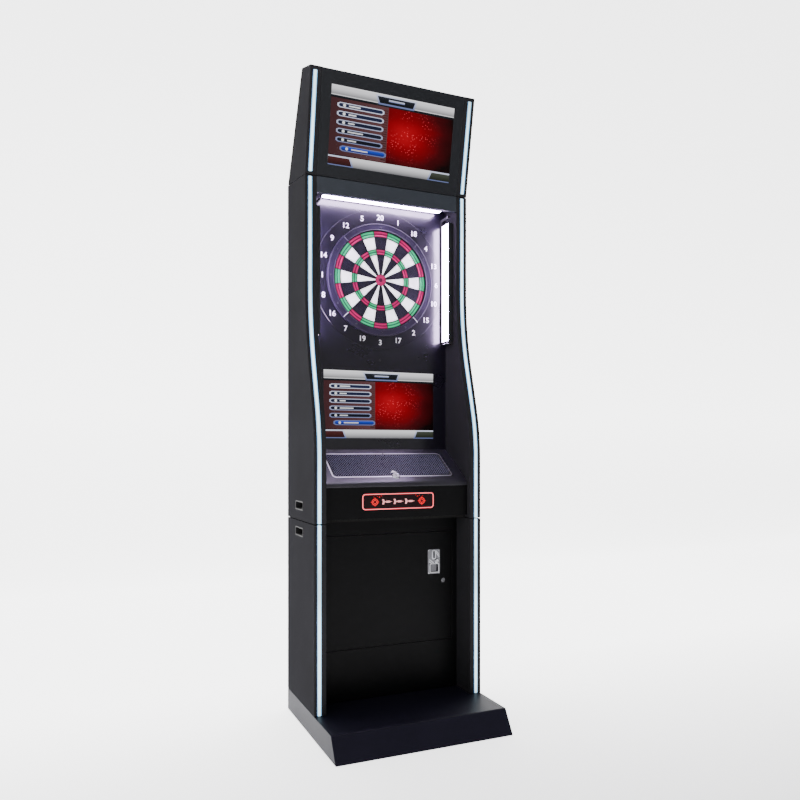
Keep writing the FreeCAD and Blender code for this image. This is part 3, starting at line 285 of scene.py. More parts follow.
def red_glow(name):
    """The screen's backdrop: a red glow right of the middle with sparks in it, black at the edges."""
    finish = Finish(name, (0.004, 0.0, 0.0), roughness=0.3, specular_ior_level=0.2, emission_strength=1.5)
    place = finish.axes("Generated")
    across = finish.math("MULTIPLY", finish.math("SUBTRACT", place["X"], 0.6), 1.15)
    up = finish.math("MULTIPLY", finish.math("SUBTRACT", place["Z"], 0.55), 0.8)
    distance = finish.distance(across, up)
    cloud = finish.math("MULTIPLY", finish.noise(3.5, 4, (1, 1, 1), "Generated"), 0.22)
    reach = finish.math("ADD", distance, cloud)
    heart = (0.1, (0.34, 0.0, 0.006)), (0.3, (0.15, 0.0, 0.003))
    glow = finish.ramp(reach, *heart, (0.48, (0.035, 0.0, 0.001)), (0.64, 0.0))
    flat = finish.node("ShaderNodeCombineXYZ", {"X": place["X"], "Y": place["Z"]})
    mapping = finish.node("ShaderNodeMapping", {"Vector": flat.outputs[0], "Scale": (1.75, 1, 1)})
    inputs = {"Vector": mapping.outputs[0], "Scale": 24}
    dots = finish.node("ShaderNodeTexVoronoi", inputs, voronoi_dimensions="2D").outputs["Distance"]
    sparks = finish.ramp(dots, (0.0, (1.0, 0.2, 0.22)), (0.1, (0.6, 0.03, 0.04)), (0.17, 0.0))
    kept = finish.ramp(finish.noise(7, 2, (1, 1, 1), "Generated"), (0.48, 0.0), (0.62, 0.8))
    inside = finish.ramp(reach, (0.3, 1.0), (0.48, 0.0))
    masked = finish.vector_math("MULTIPLY", sparks, kept)
    near = finish.vector_math("MULTIPLY", masked, inside)
    finish.link(finish.vector_math("ADD", glow, near), "Emission Color")
    return finish.material


def ring_plastic(name, color):
    """A scoring ring's plastic with painted light: two painted highlight arcs on each ring, with painted
    shade between them and at the ring's edges.
    """
    finish = Finish(name, color)
    place = finish.axes()
    across = finish.math("SUBTRACT", place["X"], BULL.x)
    up = finish.math("SUBTRACT", place["Z"], BULL.z)
    radius = finish.distance(across, up)
    gaps = []
    for ring in ("treble", "double"):
        middle = sum(RINGS[ring]) / 2
        gaps.append(finish.math("ABSOLUTE", finish.math("SUBTRACT", radius, middle)))
    half_width = (RINGS["double"][1] - RINGS["double"][0]) / 2
    share = finish.math("DIVIDE", finish.math("MINIMUM", *gaps), half_width, clamp=True)
    # Painted shade: the colour darkened at each ring's middle and edges, which leaves two painted highlight
    # arcs.
    dark = tuple(channel * 0.16 for channel in color)
    arcs = finish.ramp(share, (0.1, dark), (0.32, color), (0.66, color), (0.95, dark))
    finish.link(arcs, "Base Color")
    return moulded_skin(finish, 0.32, 0.48)


def picture(name, low, high, strength=1.0, axis="Z", streaks=0.0):
    """A lit patch of the screen's picture, shaded from one side to the other."""
    finish = Finish(name, (0.004,) * 3, roughness=0.3, specular_ior_level=0.2, emission_strength=strength)
    factor = finish.axes("Generated")[axis]
    if streaks:
        drift = finish.math("MULTIPLY", finish.noise(24, 3, (1, 1, 5), "Generated"), streaks)
        factor = finish.math("ADD", factor, drift)
    finish.link(finish.ramp(factor, (0.1, low), (0.9, high)), "Emission Color")
    return finish.material


MATERIALS = {
    # Painted light: these copies of the cabinet's black paint differ in base colour by how lit each panel
    # looks; the side, upper front, header, shelf and foot copies are painted lighter than the front copy,
    # and tinted purple-blue, for the light of the bars, strips and studio lamps on them.
    "side": textured_paint("side_paint", (0.021, 0.0207, 0.023), 0.6, 0.68, 0.0),
    "front": textured_paint("front_paint", (0.0015, 0.0015, 0.0019), 0.44, 0.52, 0.11),
    "upper_front": textured_paint("upper_front_paint", (0.0125, 0.0135, 0.0165), 0.4, 0.48, 0.3),
    "header": textured_paint("header_paint", (0.032, 0.037, 0.047), 0.4, 0.48, 0.35),
    "shelf": textured_paint("shelf_paint", (0.014, 0.0125, 0.02), 0.3, 0.38, 0.9),
    "foot": textured_paint("foot_paint", (0.0068, 0.0062, 0.0125), 0.42, 0.5, 0.1),
    "board": laminate("back_board", (0.010, 0.0098, 0.0095)),
    "fascia": acrylic("fascia_gloss", (0.0042, 0.003, 0.0085), 0.26, 0.9, 0.6),
    "disc": acrylic("number_disc_print", (0.004, 0.0028, 0.0075), 0.3, 0.8, 0.5),
    "black": plastic("black_plastic", (0.008, 0.008, 0.009)),
    "rubber": plastic("black_liner", (0.005, 0.005, 0.006), 0.6, 0.8),
    "chrome": chrome("chrome_trim", (0.62, 0.63, 0.66)),
    "dull_chrome": chrome("dull_chrome", (0.14, 0.14, 0.15)),
    "plate": chrome("coin_plate_chrome", (0.2, 0.2, 0.215)),
    "zinc": brushed("zinc_sheet", (0.42, 0.43, 0.44), 0.35, 0.55, (4, 4, 4)),
    "rim": brushed("overlay_silver", (0.75, 0.74, 0.8), 0.3, 0.42, (30, 1, 1)),
    "mesh": mesh_print("overlay_mesh_print"),
    "web": plastic("web_plastic", (0.005, 0.004, 0.008), 0.4, 0.55),
    "ring": plastic("catch_ring_plastic", (0.02, 0.014, 0.034), 0.3, 0.42),
    "screw": plastic("black_screw", (0.05, 0.045, 0.06), 0.2, 0.35, 300),
    "seg_black": plastic("segment_black", (0.011, 0.008, 0.02), 0.36, 0.52),
    # The white segments' glow is painted light from the recess's lamps.
    "seg_white": lit_plastic("segment_white", (0.96, 0.93, 0.98), 1.2),
    "seg_red": ring_plastic("segment_red", (0.72, 0.015, 0.17)),
    "seg_green": ring_plastic("segment_green", (0.04, 0.72, 0.28)),
    "bull_red": plastic("outer_bull_red", (0.6, 0.012, 0.13), 0.32, 0.48),
    "bull": plastic("bull_dark_red", (0.10, 0.004, 0.03), 0.3, 0.45),
    "digits": plastic("number_print", (0.9, 0.88, 0.94), 0.4, 0.5),
    "button": plastic("button_cap", (0.7, 0.7, 0.76), 0.16, 0.28),
    "bar_light": lit("bar_light", (0.80, 0.63, 1.0), 44.0, (0.74, 0.57, 1.0)),
    "edge_light": edge_light("edge_light", 0.322, 0.0086),
    "neon": lit("neon_pink", (1.0, 0.16, 0.17), 2.2, (1.0, 0.1, 0.12)),
    "neon_red": lit("neon_red", (1.0, 0.015, 0.02), 1.0, (0.9, 0.005, 0.012)),
    "neon_pale": lit("neon_pale", (1.0, 0.42, 0.42), 1.0, (1.0, 0.34, 0.35)),
    "sign": acrylic("sign_black", (0.008, 0.001, 0.002), 0.35, 0.12, 0.15),
    "glow": red_glow("screen_red_glow"),
}
for patch, *look in (
    ("silver", (0.12, 0.12, 0.13), (0.75, 0.75, 0.78), 1.2, "Z", 0.25),
    ("shine", (0.7, 0.7, 0.72), (0.9, 0.9, 0.92), 1.2),
    ("dark", (0.002, 0.003, 0.005), (0.012, 0.016, 0.025), 0.8),
    ("haze", (0.055, 0.016, 0.019), (0.11, 0.042, 0.046), 1.0, "X"),
    ("navy", (0.002, 0.003, 0.012), (0.012, 0.018, 0.065), 0.9),
    ("blue", (0.004, 0.008, 0.16), (0.02, 0.06, 0.6), 1.0),
    ("outline", (0.16, 0.2, 0.42), (0.75, 0.8, 1.0), 1.0),
    ("olive", (0.015, 0.018, 0.01), (0.06, 0.07, 0.05), 0.9),
    ("rust", (0.03, 0.004, 0.004), (0.08, 0.015, 0.015), 0.9),
):
    MATERIALS[patch] = picture(f"screen_{patch}", *look)


# ---- mesh work ----


def add_object(name, data):
    made = bpy.data.objects.new(name, data)
    bpy.context.scene.collection.objects.link(made)
    return made


def shade(mesh, angle=32):
    mesh.polygons.foreach_set("use_smooth", [True] * len(mesh.polygons))
    mesh.set_sharp_from_angle(angle=math.radians(angle))


def piece(name, bm, material, body=CABINET, matrix=None):
    """Turns a bmesh into a finished piece that rides on a body."""
    mesh = bpy.data.meshes.new(name)
    bmesh.ops.recalc_face_normals(bm, faces=bm.faces)
    bm.to_mesh(mesh)
    bm.free()
    mesh.materials.append(MATERIALS[material])
    shade(mesh)
    made = add_object(name, mesh)
    if matrix is not None:
        made.matrix_world = matrix
    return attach(made, body)


def soften(bm, width):
    """Rounds the sharp edges by a width in millimetres."""
    limit = math.radians(28)
    sharp = [edge for edge in bm.edges if len(edge.link_faces) == 2 and edge.calc_face_angle(0) > limit]
    bmesh.ops.bevel(
        bm, geom=sharp, offset=width * MM, segments=2, profile=0.5, affect="EDGES", clamp_overlap=True,
    )


def stand_in(made, node):
    """Hides a CAD node, so that a finished piece shows in its place."""
    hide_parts(node)


def clean_copy(node):
    """A CAD node's shape without the triangles that split its flat faces."""
    bm = bmesh.new()
    bm.from_mesh(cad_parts[node].data)
    bmesh.ops.remove_doubles(bm, verts=bm.verts, dist=0.00001)
    bmesh.ops.dissolve_limit(bm, angle_limit=math.radians(0.4), verts=bm.verts, edges=bm.edges)
    return bm


def softened(node, material, width, body=CABINET):
    """A CAD node's own shape with its edges rounded as on the real piece."""
    bm = clean_copy(node)
    soften(bm, width)
    made = piece(f"{node}_finished", bm, material, body)
    even = made.modifiers.new("even_shading", "WEIGHTED_NORMAL")
    even.keep_sharp = True
    stand_in(made, node)


def paint(node, material):
    """Gives a CAD node that keeps its own mesh a finished material."""
    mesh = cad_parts[node].data
    mesh.materials.clear()
    mesh.materials.append(MATERIALS[material])


def rounded_outline(low, high, radius, grow=0, steps=6):
    """A rounded rectangle's points, anticlockwise from its lower right corner, grown all round."""
    points = []
    places = {-1: [end - grow for end in low], 1: [end + grow for end in high]}
    for side, rise, start in ((1, -1, 270), (1, 1, 0), (-1, 1, 90), (-1, -1, 180)):
        x = places[side][0] - side * radius
        z = places[rise][1] - rise * radius
        for step in range(steps + 1):
            angle = math.radians(start + 90 * step / steps)
            points.append((x + radius * math.cos(angle), z + radius * math.sin(angle)))
    return points


def turns(count):
    """Equal angles round a whole turn."""
    return [2 * math.pi * step / count for step in range(count)]


def disc_outline(x, z, radius, steps, stretch=1):
    return [(x + radius * math.cos(turn), z + radius * stretch * math.sin(turn)) for turn in turns(steps)]


def box_shape(low_x, low_z, high_x, high_z):
    return [(low_x, low_z), (high_x, low_z), (high_x, high_z), (low_x, high_z)]


def looped(items):
    """Each item with the one after it, round a loop."""
    return zip(items, items[1:] + items[:1])


def slab(bm, outline, front, back):
    """Adds an outline drawn in X and Z, from front to back along Y."""
    near = [bm.verts.new((x, front, z)) for x, z in outline]
    far = [bm.verts.new((x, back, z)) for x, z in outline]
    bm.faces.new(near)
    bm.faces.new(far[::-1])
    for (near_start, near_end), (far_start, far_end) in zip(looped(near), looped(far)):
        bm.faces.new((near_end, near_start, far_start, far_end))


def close_up(bm, rows):
    """Faces between closed rows of points, from each row to the next and from the last to the first."""
    for row, other in looped(rows):
        for (start, end), (far_start, far_end) in zip(looped(row), looped(other)):
            bm.faces.new((start, end, far_end, far_start))


def band(bm, outer, inner, front, back):
    """Adds a closed strip between two outlines with the same number of points."""
    loops = ((outer, front), (inner, front), (inner, back), (outer, back))
    close_up(bm, [[bm.verts.new((x, depth, z)) for x, z in line] for line, depth in loops])


def turned_rings(bm, profile, centre, steps):
    """A profile's points, copied round the Y axis through a centre."""
    rings = []
    for turn in turns(steps):
        across, up = math.cos(turn), math.sin(turn)
        rings.append([
            bm.verts.new((centre[0] + radius * across, y, centre[2] + radius * up)) for radius, y in profile
        ])
    return rings


def lathe(bm, profile, centre, steps):
    """Turns a closed profile of (radius, y) about the Y axis through a centre."""
    close_up(bm, turned_rings(bm, profile, centre, steps))


def knob(bm, profile, centre, steps):
    """Turns an open profile of (radius, y) that starts and ends on the axis, as a closed round piece."""
    rings = turned_rings(bm, profile[1:-1], centre, steps)
    start = bm.verts.new((centre[0], profile[0][1], centre[2]))
    end = bm.verts.new((centre[0], profile[-1][1], centre[2]))
    for ring, after in looped(rings):
        bm.faces.new((start, ring[0], after[0]))
        bm.faces.new((end, after[-1], ring[-1]))
        for index in range(len(ring) - 1):
            bm.faces.new((ring[index], ring[index + 1], after[index + 1], after[index]))


def mesh_of(curve):
    """A curve's or text's mesh. The curve itself is removed."""
    holder = add_object(f"{curve.name}_line", curve)
    bpy.context.view_layer.update()
    depsgraph = bpy.context.evaluated_depsgraph_get()
    mesh = bpy.data.meshes.new_from_object(holder.evaluated_get(depsgraph))
    bpy.data.objects.remove(holder)
    bpy.data.curves.remove(curve)
    return mesh


def tube(name, points, radius, material, closed=True):
    """A round tube along points, as a mesh."""
    curve = bpy.data.curves.new(name, "CURVE")
    curve.dimensions = "3D"
    curve.bevel_depth = radius
    curve.bevel_resolution = 3
    spline = curve.splines.new("POLY")
    spline.points.add(len(points) - 1)
    for point, place in zip(spline.points, points):
        point.co = (*place, 1)
    spline.use_cyclic_u = closed
    mesh = mesh_of(curve)
    bm = bmesh.new()
    bm.from_mesh(mesh)
    bpy.data.meshes.remove(mesh)
    piece(name, bm, material)


# ---- cabinet panels ----


def cabinet_panels():
    for side in ("left", "right"):
        for part in ("lower", "upper", "head"):
            softened(f"{part}_side_{side}", "side", 1.4)
    softened("foot_plinth", "foot", 2.2)
    for node in ("lower_front_frame", "apron_panel", "recess_ceiling"):
        softened(node, "front", 0.8)
    softened("header_panel", "header", 0.8)
    for node in ("head_front_frame", "head_shell"):
        softened(node, "upper_front", 0.8)
    softened("control_shelf", "shelf", 0.8)
    softened("coin_door", "front", 1.0, DOOR)
    for node in ("lower_back_panel", "upper_back_panel"):
        softened(node, "board", 0.8)
    paint("upper_floor", "board")
    softened("board_fascia", "fascia", 0.4)


def grip_cups():
    """A dark moulded liner in each finger slot, with a thin lip on the panel's face."""
    wall = 1.5 * MM
    reach = 32 * MM
    half = (49.5 * MM, 14.5 * MM)
    low = [-end for end in half]
    lip_width = 3 * MM
    outer = rounded_outline(low, half, 5.6 * MM)
    inner = rounded_outline(low, half, 4.4 * MM, -wall)
    lip = rounded_outline(low, half, 8 * MM, lip_width)
    for side, label in ((-1, "left"), (1, "right")):
        turn = Matrix.Rotation(math.radians(90 * side), 4, "Z")
        for part, height in GRIP_HEIGHTS.items():
            bm = bmesh.new()
            band(bm, outer, inner, -0.4 * MM, reach)
            band(bm, lip, outer, -1.2 * MM, -0.1 * MM)
            slab(bm, outer, reach, reach + 1 * MM)
            soften(bm, 0.4)
            place = Matrix.Translation((side * SIDE_FACE, GRIP_Y, height)) @ turn
            piece(f"grip_cup_{part}_{label}", bm, "rubber", CABINET, place)


def edge_lights():
    softened("light_strips", "edge_light", 1.6)


# ---- target ----


def sector_outline(inner, outer, offset, steps=8):
    """A segment's outline in the sector at the top, its straight edges offset from the sector's."""
    points = []
    for radius, order in ((outer, 1), (inner, -1)):
        limit = HALF_SECTOR - math.asin(offset / radius)
        for step in range(steps + 1):
            angle = order * limit * (1 - 2 * step / steps)
            points.append((radius * math.sin(angle), radius * math.cos(angle)))
    return points


def hole_places(fits, reach):
    """A staggered grid of hole centres that fit."""
    rows = int(reach / HOLE_PITCH) + 1
    row_height = HOLE_PITCH * math.sqrt(3) / 2
    places = []
    for row in range(-rows, 2 * rows):
        for column in range(-rows, rows + 1):
            x = HOLE_PITCH * (column + 0.5 * (row % 2))
            z = row_height * row
            if fits(x, z):
                places.append((x, z))
    return places


def drilled(outline, rim, holes):
    """A segment as points and faces: a chamfered block full of blind holes, its front at Y zero."""
    depth = SEGMENT_BACK - SEGMENT_FRONT
    loops = [rim] + [disc_outline(x, z, HOLE_RADIUS, 6) for x, z in holes]
    flat = [Vector(point) for loop in loops for point in loop]
    faces = []
    start = 0
    for loop in loops:
        faces.append(list(range(start, start + len(loop))))
        start += len(loop)
    points, _, triangles, _, _, owners = delaunay_2d_cdt(flat, [], faces, 1, 1e-7)
    verts = [(point.x, 0, point.y) for point in points]
    kept = [tuple(triangle) for triangle, owner in zip(triangles, owners) if list(owner) == [0]]
    for near, far in ((outline, CHAMFER), (outline, depth)):
        verts += [(x, far, z) for x, z in near]
    verts += [(x, 0, z) for x, z in rim]
    count = len(outline)
    shoulder = len(points)
    foot = shoulder + count
    brim = foot + count
    for index, after in looped(list(range(count))):
        kept.append((brim + index, shoulder + index, shoulder + after, brim + after))
        kept.append((shoulder + index, foot + index, foot + after, shoulder + after))
    kept.append(tuple(range(foot, foot + count)))
    for loop in loops[1:]:
        top = len(verts)
        verts += [(x, 0, z) for x, z in loop] + [(x, HOLE_DEPTH, z) for x, z in loop]
        sides = len(loop)
        for index, after in looped(list(range(sides))):
            kept.append((top + index, top + after, top + sides + after, top + sides + index))
        kept.append(tuple(range(top + sides, top + 2 * sides)))
    return verts, kept


def segment_shape(inner, outer):
    margin = HOLE_RADIUS + 0.9 * MM
    outline = sector_outline(inner, outer, WEB_HALF)
    rim = sector_outline(inner + CHAMFER, outer - CHAMFER, WEB_HALF + CHAMFER)
    sine = math.sin(HALF_SECTOR)
    cosine = math.cos(HALF_SECTOR)

    def fits(x, z):
        radius = math.hypot(x, z)
        from_edge = z * sine - abs(x) * cosine
        return inner + margin < radius < outer - margin and from_edge > WEB_HALF + margin

    return drilled(outline, rim, hole_places(fits, outer))


def target_segments():
    """Each colour's segments in one mesh, every one a separate moulding."""
    shapes = {name: segment_shape(*span) for name, span in RINGS.items()}
    groups = {
        "singles_dark": (("inner_single", "outer_single"), 0, "seg_black", "segment_black"),
        "singles_light": (("inner_single", "outer_single"), 1, "seg_white", "segment_white"),
        "rings_red": (("treble", "double"), 0, "seg_red", "segment_red"),
        "rings_green": (("treble", "double"), 1, "seg_green", "segment_green"),
    }
    front = Vector((BULL.x, SEGMENT_FRONT, BULL.z))
    for node, (rings, shift, material, slot) in groups.items():
        bm = bmesh.new()
        for ring in rings:
            points, faces = shapes[ring]
            for angle in turns(SECTORS)[shift::2]:
                turn = Matrix.Rotation(angle, 4, "Y")
                verts = [bm.verts.new(front + turn @ Vector(point)) for point in points]
                for face in faces:
                    bm.faces.new([verts[index] for index in face])
        bmesh.ops.remove_doubles(bm, verts=bm.verts, dist=0.000002)
        stand_in(piece(f"{node}_moulded", bm, material), node)


def target_bulls():
    for node, material, slot, inner, outer in (
        ("outer_bull", "bull_red", "segment_red", 8.3 * MM, 22 * MM),
        ("inner_bull", "bull", "bull_dark", 0, 8 * MM),
    ):
        low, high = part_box(node)
        front, back = low.y, high.y
        bm = bmesh.new()
        if inner:
            lathe(bm, (
                (inner + CHAMFER, front), (outer - CHAMFER, front), (outer, front + CHAMFER), (outer, back),
                (inner, back), (inner, front + CHAMFER),
            ), BULL, 64)
        else:
            knob(bm, (
                (0, front - 0.2 * MM), (outer * 0.5, front - 0.1 * MM), (outer - CHAMFER, front + 0.2 * MM),
                (outer, front + 2 * CHAMFER), (outer, back), (0, back),
            ), BULL, 48)
        stand_in(piece(f"{node}_moulded", bm, material, node), node)
    # Painted shade: flat dark discs on the outer bull's face stand in for the shade inside its holes.
    bm = bmesh.new()
    hole_front, hole_back = SEGMENT_FRONT - 0.06 * MM, SEGMENT_FRONT + 0.4 * MM
    for ring, count in ((11.5, 12), (15, 16), (18.6, 20)):
        for turn in turns(count):
            centre = (BULL.x + ring * MM * math.cos(turn), BULL.z + ring * MM * math.sin(turn))
            slab(bm, disc_outline(*centre, 1.0 * MM, 8), hole_front, hole_back)
    piece("outer_bull_hole_shade", bm, "rubber", "outer_bull")


def target_rings():
    softened("catch_ring", "ring", 1.6)
    softened("spider_web", "web", 0.35)
    softened("ring_screws", "screw", 0.7)
    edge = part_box("catch_ring")[1].x + 0.6 * MM
    outer = DISC_RADIUS
    face = NUMBERS_FACE
    bm = bmesh.new()
    lathe(bm, (
        (edge, FASCIA_FACE), (edge, face), (outer - 1 * MM, face),
        (outer, FASCIA_FACE - 0.6 * MM), (outer, FASCIA_FACE),
    ), BULL, 128)
    piece("number_disc", bm, "disc")
    bm = bmesh.new()
    inner_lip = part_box("spider_web")[1].x + 2.2 * MM
    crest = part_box("catch_ring")[0].y
    foot, shoulder = crest + 3 * MM, crest + 0.9 * MM
    for radius in (inner_lip, edge - 4 * MM):
        lathe(bm, (
            (radius - 1.6 * MM, foot), (radius - 1 * MM, shoulder), (radius, crest + 0.4 * MM),
            (radius + 1 * MM, shoulder), (radius + 1.6 * MM, foot),
        ), BULL, 128)
    piece("catch_ring_beads", bm, "ring")
    for index in range(4):
        turn = math.radians(45 + 90 * index)
        along = Vector((math.cos(turn), 0, math.sin(turn)))
        middle = Vector((BULL.x, crest, BULL.z))
        ends = [middle + along * radius for radius in PIN_SPAN]
        # The four pins are alike: the two lower ones take the bright overlay silver as a painted glint, the
        # two upper ones the ring's dark plastic.
        tube(f"catch_ring_pin_{index}", ends, 1.7 * MM, "ring" if along.z > 0 else "rim", False)


def numerals():
    """The twenty sector numbers, upright round the disc."""
    bm = bmesh.new()
    for number, turn in zip(NUMBERS, turns(SECTORS)):
        text = bpy.data.curves.new(f"number_{number}", "FONT")
        text.body = str(number)
        text.align_x = "CENTER"
        text.align_y = "CENTER"
        text.size = 30 * MM
        text.extrude = 0.15 * MM
        text.offset = 0.55 * MM
        mesh = mesh_of(text)
        across, up = NUMBER_RADIUS * math.sin(turn), NUMBER_RADIUS * math.cos(turn)
        place = Vector((across, NUMBERS_FACE, BULL.z + up))
        mesh.transform(Matrix.Translation(place) @ Matrix.Rotation(math.radians(90), 4, "X"))
        bm.from_mesh(mesh)
        bpy.data.meshes.remove(mesh)
    bmesh.ops.remove_doubles(bm, verts=bm.verts, dist=0.000005)
    piece("number_print", bm, "digits")


# ---- screens ----


class Screen:
    """A lit picture on a screen's glass, laid out in shares of its width and height in thin layers."""

    def __init__(self, name, width, height, matrix):
        self.name = name
        self.width = width
        self.height = height
        self.matrix = matrix
        self.layer = 0.16 * MM

    def patch(self, name, material, shapes, level):
        bm = bmesh.new()
        for shape in shapes:
            outline = [((x - 0.5) * self.width, (z - 0.5) * self.height) for x, z in shape]
            slab(bm, outline, -self.layer * (level + 1), -self.layer * level)
        piece(f"{self.name}_{name}", bm, material, CABINET, self.matrix)

    def pill(self, low, high, middle, half):
        """A long capsule with pointed ends, as shares of the screen."""
        tip = half * self.height / self.width
        upper = [(high, half * 0.5), (high - tip, half), (low + tip, half), (low, half * 0.5)]
        lower = [(x, -rise) for x, rise in upper[::-1]]
        return [(x, middle + rise) for x, rise in lower + upper]


def screen_picture(name, width, height, matrix):
    """A plain menu: a header, a footer, six blank buttons with a mark each, and a red glow behind."""
    screen = Screen(name, width, height, matrix)
    header = 0.875
    footer = 0.125
    half = 0.033
    pitch = 0.1075
    rows = [0.765 - pitch * row for row in range(6)]
    last = rows[-1]
    stripes = [box_shape(0.41, 0.16 + 0.03 * step, 0.45, 0.172 + 0.03 * step) for step in range(22)]
    header_lines = [box_shape(0, 0.985, 1, 1), box_shape(0, header, 1, header + 0.012)]
    tab = [(0.37, header - 0.012), (0.66, header - 0.012), (0.685, 0.985), (0.34, 0.985)]
    tab_inner = [(0.38, header + 0.008), (0.65, header + 0.008), (0.667, 0.965), (0.358, 0.965)]
    left_edge = [(0, 0), (0.2, 0), (0.175, footer), (0, footer)]
    right_edge = [(0.81, 0), (1, 0), (1, footer), (0.835, footer)]
    left_tab = [(0, 0.012), (0.185, 0.012), (0.165, footer - 0.02), (0, footer - 0.02)]
    right_tab = [(0.825, 0.012), (1, 0.012), (1, footer - 0.02), (0.845, footer - 0.02)]
    edges = [screen.pill(0.05, 0.42, row, half) for row in rows[:-1]]
    edges.append(screen.pill(0.085, 0.455, last, half * 1.1))
    cores = [screen.pill(0.062, 0.408, row, half * 0.66) for row in rows[:-1]]
    marks = []
    for row, length in zip(rows, (0.09, 0.06, 0.05, 0.12, 0.07, 0.13)):
        shift = 0.035 if row == last else 0
        start = 0.14 + shift
        marks.append(disc_outline(0.105 + shift, row, 0.011, 12, width / height))
        marks.append(box_shape(start, row - 0.008, start + length, row + 0.008))
    for label, material, level, shapes in (
        ("backdrop", "glow", 0, [box_shape(0, 0, 1, 1)]),
        ("panel", "haze", 1, [box_shape(0, footer + 0.01, 0.455, 0.845)]),
        ("panel_marks", "rust", 2, stripes),
        ("header_gap", "dark", 1, [box_shape(0, header - 0.03, 1, header)]),
        ("header", "silver", 1, [box_shape(0, header, 1, 0.985)]),
        ("header_line", "shine", 2, header_lines),
        ("header_tab_edge", "outline", 3, [tab]),
        ("header_tab", "dark", 4, [tab_inner]),
        ("header_bar", "outline", 5, [box_shape(0.45, 0.915, 0.58, 0.94)]),
        ("footer", "silver", 1, [box_shape(0, 0, 1, footer)]),
        ("footer_line", "shine", 2, [box_shape(0, footer - 0.012, 1, footer)]),
        ("footer_tab_edges", "outline", 3, [left_edge, right_edge]),
        ("footer_tab_left", "rust", 4, [left_tab]),
        ("footer_tab_right", "olive", 4, [right_tab]),
        ("button_edges", "outline", 3, edges),
        ("button_cores", "navy", 4, cores),
        ("button_chosen", "blue", 4, [screen.pill(0.097, 0.443, last, half * 0.75)]),
        ("button_marks", "shine", 5, marks),
    ):
        screen.patch(label, material, shapes, level)


def screens():
    low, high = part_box("lower_screen")
    bezel = 12 * MM
    width = high.x - low.x - 2 * bezel
    height = high.z - low.z - 2 * bezel
    centre = Vector((0, low.y - 0.02 * MM, (low.z + high.z) / 2))
    screen_picture("lower_picture", width, height, Matrix.Translation(centre))
    tilt = Matrix.Translation(HEAD_PIVOT) @ Matrix.Rotation(HEAD_LEAN, 4, "X")
    face = tilt @ Matrix.Translation((0, 1.98 * MM, 0.18825))
    screen_picture("upper_picture", *UPPER_GLASS, face)


# ---- control shelf and sign ----


def on_shelf(bm):
    """Lays a shape that was drawn upright, with its front at -Y, on the shelf's slope."""
    bmesh.ops.transform(bm, matrix=SHELF_PLANE @ Matrix.Rotation(math.radians(-90), 4, "X"), verts=bm.verts)
    return bm


def shelf_overlay():
    """The insert is drawn in the shelf's own plane, so that its print runs square to the slope."""
    softened("overlay_frame", "rim", 0.35)
    bm = clean_copy("overlay_mesh")
    bmesh.ops.transform(bm, matrix=SHELF_PLANE.inverted(), verts=bm.verts)
    insert = piece("overlay_mesh_print", bm, "mesh", CABINET, SHELF_PLANE)
    stand_in(insert, "overlay_mesh")
    low, high = (-0.2464, -0.1834), (0.2464, -0.0356)
    border = 4.5 * MM
    x, down = BUTTON_PLACE
    gap_left, gap_right = x - 18.5 * MM, x + 18.5 * MM
    outer = rounded_outline(low, high, 12 * MM)
    inner = rounded_outline(low, high, 9 * MM, -border)
    start = [(gap_right, low[1])]
    turn = [(gap_left, low[1]), (gap_left, low[1] + border)]
    end = [(gap_right, low[1] + border)]
    bm = bmesh.new()
    slab(bm, start + outer + turn + inner[::-1] + end, -1.05 * MM, -0.8 * MM)
    piece("overlay_dark_border", on_shelf(bm), "rubber")
    bm = bmesh.new()
    base = 21 * MM - down
    tip = (x - 1 * MM, base + 15 * MM)
    slab(bm, [(x - 15 * MM, base), (x + 13 * MM, base), tip], -1.15 * MM, -0.85 * MM)
    piece("button_arrow", on_shelf(bm), "digits")
    bm = bmesh.new()
    slab(bm, disc_outline(0, -0.0328, 2.4 * MM, 20), -1.5 * MM, -1.15 * MM)
    soften(bm, 0.15)
    piece("overlay_sensor_dot", on_shelf(bm), "rubber")


def select_button():
    x, down = BUTTON_PLACE
    centre = (x, 0, -down)
    bm = bmesh.new()
    outer, bore = 17.5 * MM, 13.35 * MM
    neck = bore + 2.3 * MM
    lathe(bm, (
        (bore, 10 * MM), (bore, -2.4 * MM), (bore + 0.8 * MM, -3.4 * MM), (bore + 2 * MM, -3.6 * MM),
        (outer - 0.8 * MM, -2.2 * MM), (outer, -0.9 * MM), (outer, 0), (neck, 0), (neck, 10 * MM),
    ), centre, 64)
    stand_in(piece("button_bezel_turned", on_shelf(bm), "chrome"), "button_bezel")
    bm = bmesh.new()
    radius = 13 * MM
    knob(bm, (
        (0, -4.3 * MM), (radius * 0.4, -4.5 * MM), (radius * 0.75, -5.1 * MM), (radius * 0.92, -5.4 * MM),
        (radius, -4.6 * MM), (radius, 12 * MM), (0, 12 * MM),
    ), centre, 48)
    cap = piece("select_button_cap", on_shelf(bm), "button", "select_button")
    stand_in(cap, "select_button")
    bm = bmesh.new()
    rim = 3.6 * MM
    knob(bm, (
        (0, -4.7 * MM), (rim - 0.4 * MM, -4.75 * MM), (rim, -4.5 * MM), (rim, -3.5 * MM), (0, -3.5 * MM),
    ), centre, 24)
    piece("select_button_mark", on_shelf(bm), "rubber", "select_button")


def target_icon(bm, x, z, radius, front):
    """A small round target: a ring, a cross and a bull."""
    width = radius * 0.2
    back = front + 0.5 * MM
    band(bm, disc_outline(x, z, radius, 28), disc_outline(x, z, radius - width, 28), front, back)
    band(bm, disc_outline(x, z, radius * 0.58, 24), disc_outline(x, z, radius * 0.4, 24), front, back)
    for turn in turns(4):
        along = Vector((math.cos(turn), math.sin(turn)))
        across = Vector((-along.y, along.x)) * width * 0.35
        low, high = along * radius * 0.62, along * radius * 1.28
        corners = (low - across, high - across, high + across, low + across)
        slab(bm, [(x + corner.x, z + corner.y) for corner in corners], front, back)


